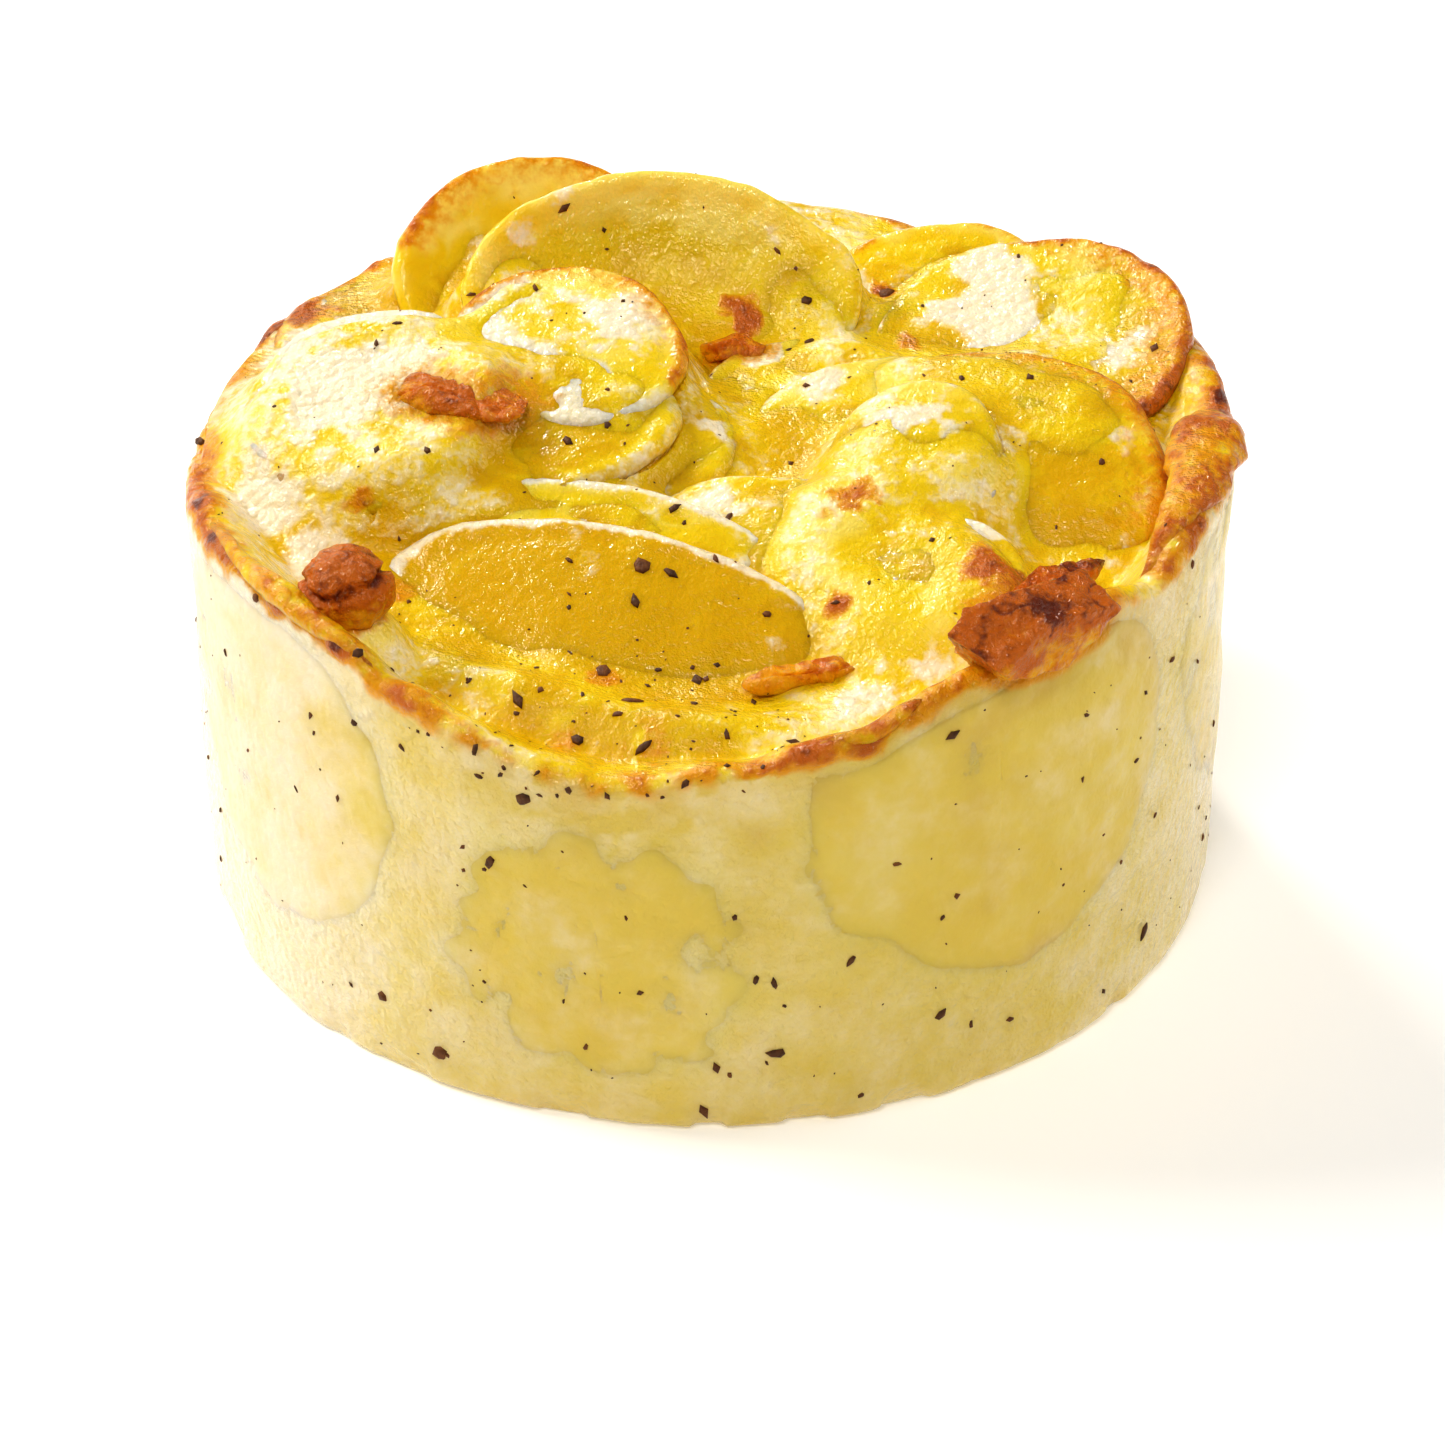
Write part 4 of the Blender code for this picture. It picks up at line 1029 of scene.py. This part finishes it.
def build_shapes():
    """Name of each piece to (its shape, the node that it stands for, its slot)."""
    shapes = {"cream_drum": (drum_shape(), BODY, "baked_cream")}
    for k, piece in enumerate(TOP_SLICES):
        slot = "browned_potato" if piece.name == "slice_back_left" else "potato"
        shapes["potato_" + piece.name] = (slice_shape(piece, 100 + 20 * k), piece.name, slot)
    for k, piece in enumerate(WALL_SLICES):
        slot = "browned_potato" if piece.name == "wall_slice_right" else "pale_potato"
        shapes["potato_" + piece.name] = (wall_slice_shape(piece, 600 + 20 * k), piece.name, slot)
    for k, crag in enumerate(CRAGS):
        shapes[crag.name] = (crag_shape(crag, 900 + 10 * k), crag.owner, "baked_cream")
    for k, ridge in enumerate(RIDGES):
        shapes[ridge.name] = (ridge_shape(ridge, 960 + 10 * k), ridge.owner, "baked_cream")
    return shapes


def first_hit(trees, start, way):
    """(point, outward direction) where a straight line first meets the gratin. None where it misses."""
    found = None
    for tree in trees:
        point, out, _, distance = tree.ray_cast(Vector(start), Vector(way))
        if point is not None and (found is None or distance < found[2]):
            found = (np.array(point), np.array(out), distance)
    return found[:2] if found else None


def crag_distance(crag, points):
    """About how far points are outside a blister."""
    dx, dy, dz = (points - np.array(crag.centre)).T
    turn = math.radians(crag.turn)
    along, across = dx * math.cos(turn) + dy * math.sin(turn), dy * math.cos(turn) - dx * math.sin(turn)
    reach = np.sqrt((along / crag.half[0]) ** 2 + (across / crag.half[1]) ** 2 + (dz / crag.half[2]) ** 2)
    return (reach - 1) * min(crag.half)


def add_spots(shapes, trees):
    """Adds the patches that the photograph shows to the values of every piece near them."""
    reach = {"brown": 0.9, "cheese": 0.9, "amber_and_shade": 0.7, "bare": 1.0}
    key = {"brown": "brown", "cheese": "cheese", "amber_and_shade": "depth", "bare": "cheese"}
    hits = []
    for kind, spots in SPOTS.items():
        for u, v, radius, strength in spots:
            hit = first_hit(trees, CAMERA_AT, pixel_ray((u, v)))
            hits.append((kind, radius, strength * reach[kind], hit))
    for name, (shape, _, _) in shapes.items():
        ragged = np.maximum(0.3, 1 + 0.6 * noise(shape.points, 1.6, 33, 3))
        warp = noise(shape.points, 2.6, 35)[:, None] * np.array([2.0, 1.2, -1.6])
        threads = noise(shape.points + warp, 2.6, 36, 2) * shape.values["grit"]
        shape.values["depth"] += 0.12 * noise(shape.points, 3.2, 37, 2) + 0.22 * threads
        shape.values["cheese"] -= 0.16 * threads
        for kind, radius, strength, hit in hits:
            near = np.linalg.norm(shape.points - hit[0], axis=1) / (radius * ragged)
            amount = strength * smooth_step(1.25, 0.25, near)
            values = shape.values[key[kind]]
            if kind == "bare":
                values[:] = values * (1 - amount)
            else:
                values[:] = np.maximum(values, values * 0.4 + amount)
        for crag in CRAGS:
            if crag.name != name:
                near = crag_distance(crag, shape.points) / ragged
                halo = 0.42 * crag.burnt * smooth_step(1.5, -0.3, near)
                shape.values["brown"][:] = np.maximum(shape.values["brown"], halo)


def flake(centre, out, size, rng):
    """(points, faces) of an angular flake that lies on a surface."""
    side = np.cross(out, [0.3, 0.5, 0.81])
    side /= np.linalg.norm(side)
    other = np.cross(out, side)
    long, spin, count = rng.uniform(1.0, 2.3), rng.uniform(0, math.tau), rng.randint(4, 7)
    corners = [rng.uniform(0.6, 1.25) for _ in range(count)]
    points = []
    for layer, height in ((1.0, -0.12), (0.95, 0.10), (0.55, 0.2)):
        for k in range(count):
            angle = math.tau * k / count
            reach = 0.5 * size * layer * corners[k]
            x, y = reach * long ** 0.5 * math.cos(angle), reach / long ** 0.5 * math.sin(angle)
            x, y = x * math.cos(spin) - y * math.sin(spin), x * math.sin(spin) + y * math.cos(spin)
            lift = height * min(size, 0.9) + rng.uniform(-0.02, 0.02)
            points.append(centre + side * x + other * y + out * lift)
    faces = [list(range(count))[::-1], list(range(2 * count, 3 * count))]
    for layer in (0, 1):
        for k in range(count):
            a, b = layer * count + k, layer * count + (k + 1) % count
            faces.append([a, b, b + count, a + count])
    return points, faces


def pepper_places(trees, rng):
    """(point, outward direction, size) of each flake: first those that the photograph shows, then more by
    a rule."""
    places = []
    for u, v, size in PEPPER_SEEN:
        hit = first_hit(trees, CAMERA_AT, pixel_ray((u, v)))
        if hit is not None:
            places.append((*hit, size))
    for _ in range(PEPPER_GATHERED):
        angle, reach = rng.uniform(0, math.tau), math.sqrt(rng.random())
        u = PEPPER_PATCH[0] + PEPPER_REACH[0] * reach * math.cos(angle)
        v = PEPPER_PATCH[1] + PEPPER_REACH[1] * reach * math.sin(angle)
        hit = first_hit(trees, CAMERA_AT, pixel_ray((u, v)))
        if hit is not None:
            places.append((*hit, 0.15 + 0.55 * rng.random() ** 2.5))
    for k in range(PEPPER_RULED):
        size = 0.16 + 0.5 * rng.random() ** 3.5
        if k % 5 < 2:
            angle, reach = rng.uniform(0, math.tau), 37 * math.sqrt(rng.random())
            hit = first_hit(trees, (reach * math.cos(angle), reach * math.sin(angle), 60), (0, 0, -1))
        else:
            azimuth, z = rng.uniform(-180, 180), rng.uniform(1.5, 33)
            start = on_wall(np.array(azimuth), np.array(z), 20.0)
            hit = first_hit(trees, start, on_wall(np.array(azimuth), np.array(z), 0.0) - start)
        if hit is not None:
            places.append((*hit, size))
    return places


def add_pepper(trees):
    """The flakes, dark and brown, as one piece of each kind."""
    rng = random.Random(PEPPER_SEED)
    kinds = {name: [] for name in PEPPER_COLOURS}
    for place in pepper_places(trees, rng):
        kinds["pepper_dark" if rng.random() < 0.6 else "pepper_brown"].append(place)
    for name, places in kinds.items():
        points, faces = [], []
        for centre, out, size in places:
            more, sides = flake(centre, out, size, rng)
            faces += [[k + len(points) for k in side] for side in sides]
            points += more
        piece = add_mesh(name, points, faces)
        piece.data.materials.append(pepper_material(name, *PEPPER_COLOURS[name]))
        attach(piece, "root")


def build_gratin():
    """Every piece of the gratin, in its place and colour."""
    shapes = build_shapes()
    trees = [BVHTree.FromPolygons(shape.points.tolist(), shape.faces) for shape, _, _ in shapes.values()]
    add_spots(shapes, trees)
    materials = {
        "baked_cream": food_material("baked_cream", 0.7, 0.4, 1.0),
        "potato": food_material("potato", 0.8, 0.6, 0.8),
        "pale_potato": food_material("pale_potato", 0.2, 0.4, 0.35),
        "browned_potato": food_material("browned_potato", 0.5, 0.6, 0.5),
    }
    for name, (shape, node, slot) in shapes.items():
        piece = add_mesh(name, *shape)
        piece.data.materials.append(materials[slot])
        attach(piece, "root")
        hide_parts(node)
    add_pepper(trees)


def add_light(name, at_mm, size_mm, power, colour):
    """A round soft light that faces the middle of the gratin."""
    light = bpy.data.lights.new(name, "AREA")
    light.shape = "DISK"
    light.size = size_mm * MM
    light.energy = power
    light.color = colour
    lamp = bpy.data.objects.new(name, light)
    lamp.location = Vector(at_mm) * MM
    lamp.rotation_euler = (Vector(LIT_POINT) - Vector(at_mm)).to_track_quat("-Z", "Y").to_euler()
    bpy.context.scene.collection.objects.link(lamp)


def add_studio():
    """A pale floor, soft lights from the left, behind, the right and above the front, and a surround."""
    corners = [(x * FLOOR_HALF, y * FLOOR_HALF, 0) for x, y in ((-1, -1), (1, -1), (1, 1), (-1, 1))]
    mesh = bpy.data.meshes.new("floor")
    mesh.from_pydata(corners, [], [(0, 1, 2, 3)])
    floor = bpy.data.objects.new("floor", mesh)
    bpy.context.scene.collection.objects.link(floor)
    n = Nodes("floor")
    n.shader.inputs["Base Color"].default_value = FLOOR_COLOUR
    n.shader.inputs["Roughness"].default_value = 0.6
    n.shader.inputs["Emission Color"].default_value = FLOOR_GLOW
    n.shader.inputs["Emission Strength"].default_value = FLOOR_GLOW_STRENGTH
    mesh.materials.append(n.material)
    for name, light in LIGHTS.items():
        add_light(name, *light)
    world = bpy.data.worlds.new("studio")
    world.use_nodes = True
    surround = world.node_tree.nodes["Background"].inputs
    surround["Color"].default_value = SURROUND_COLOUR
    surround["Strength"].default_value = SURROUND_STRENGTH
    bpy.context.scene.world = world
    view = bpy.context.scene.view_settings
    view.view_transform = "Standard"
    view.look = "High Contrast"


build_gratin()
add_studio()
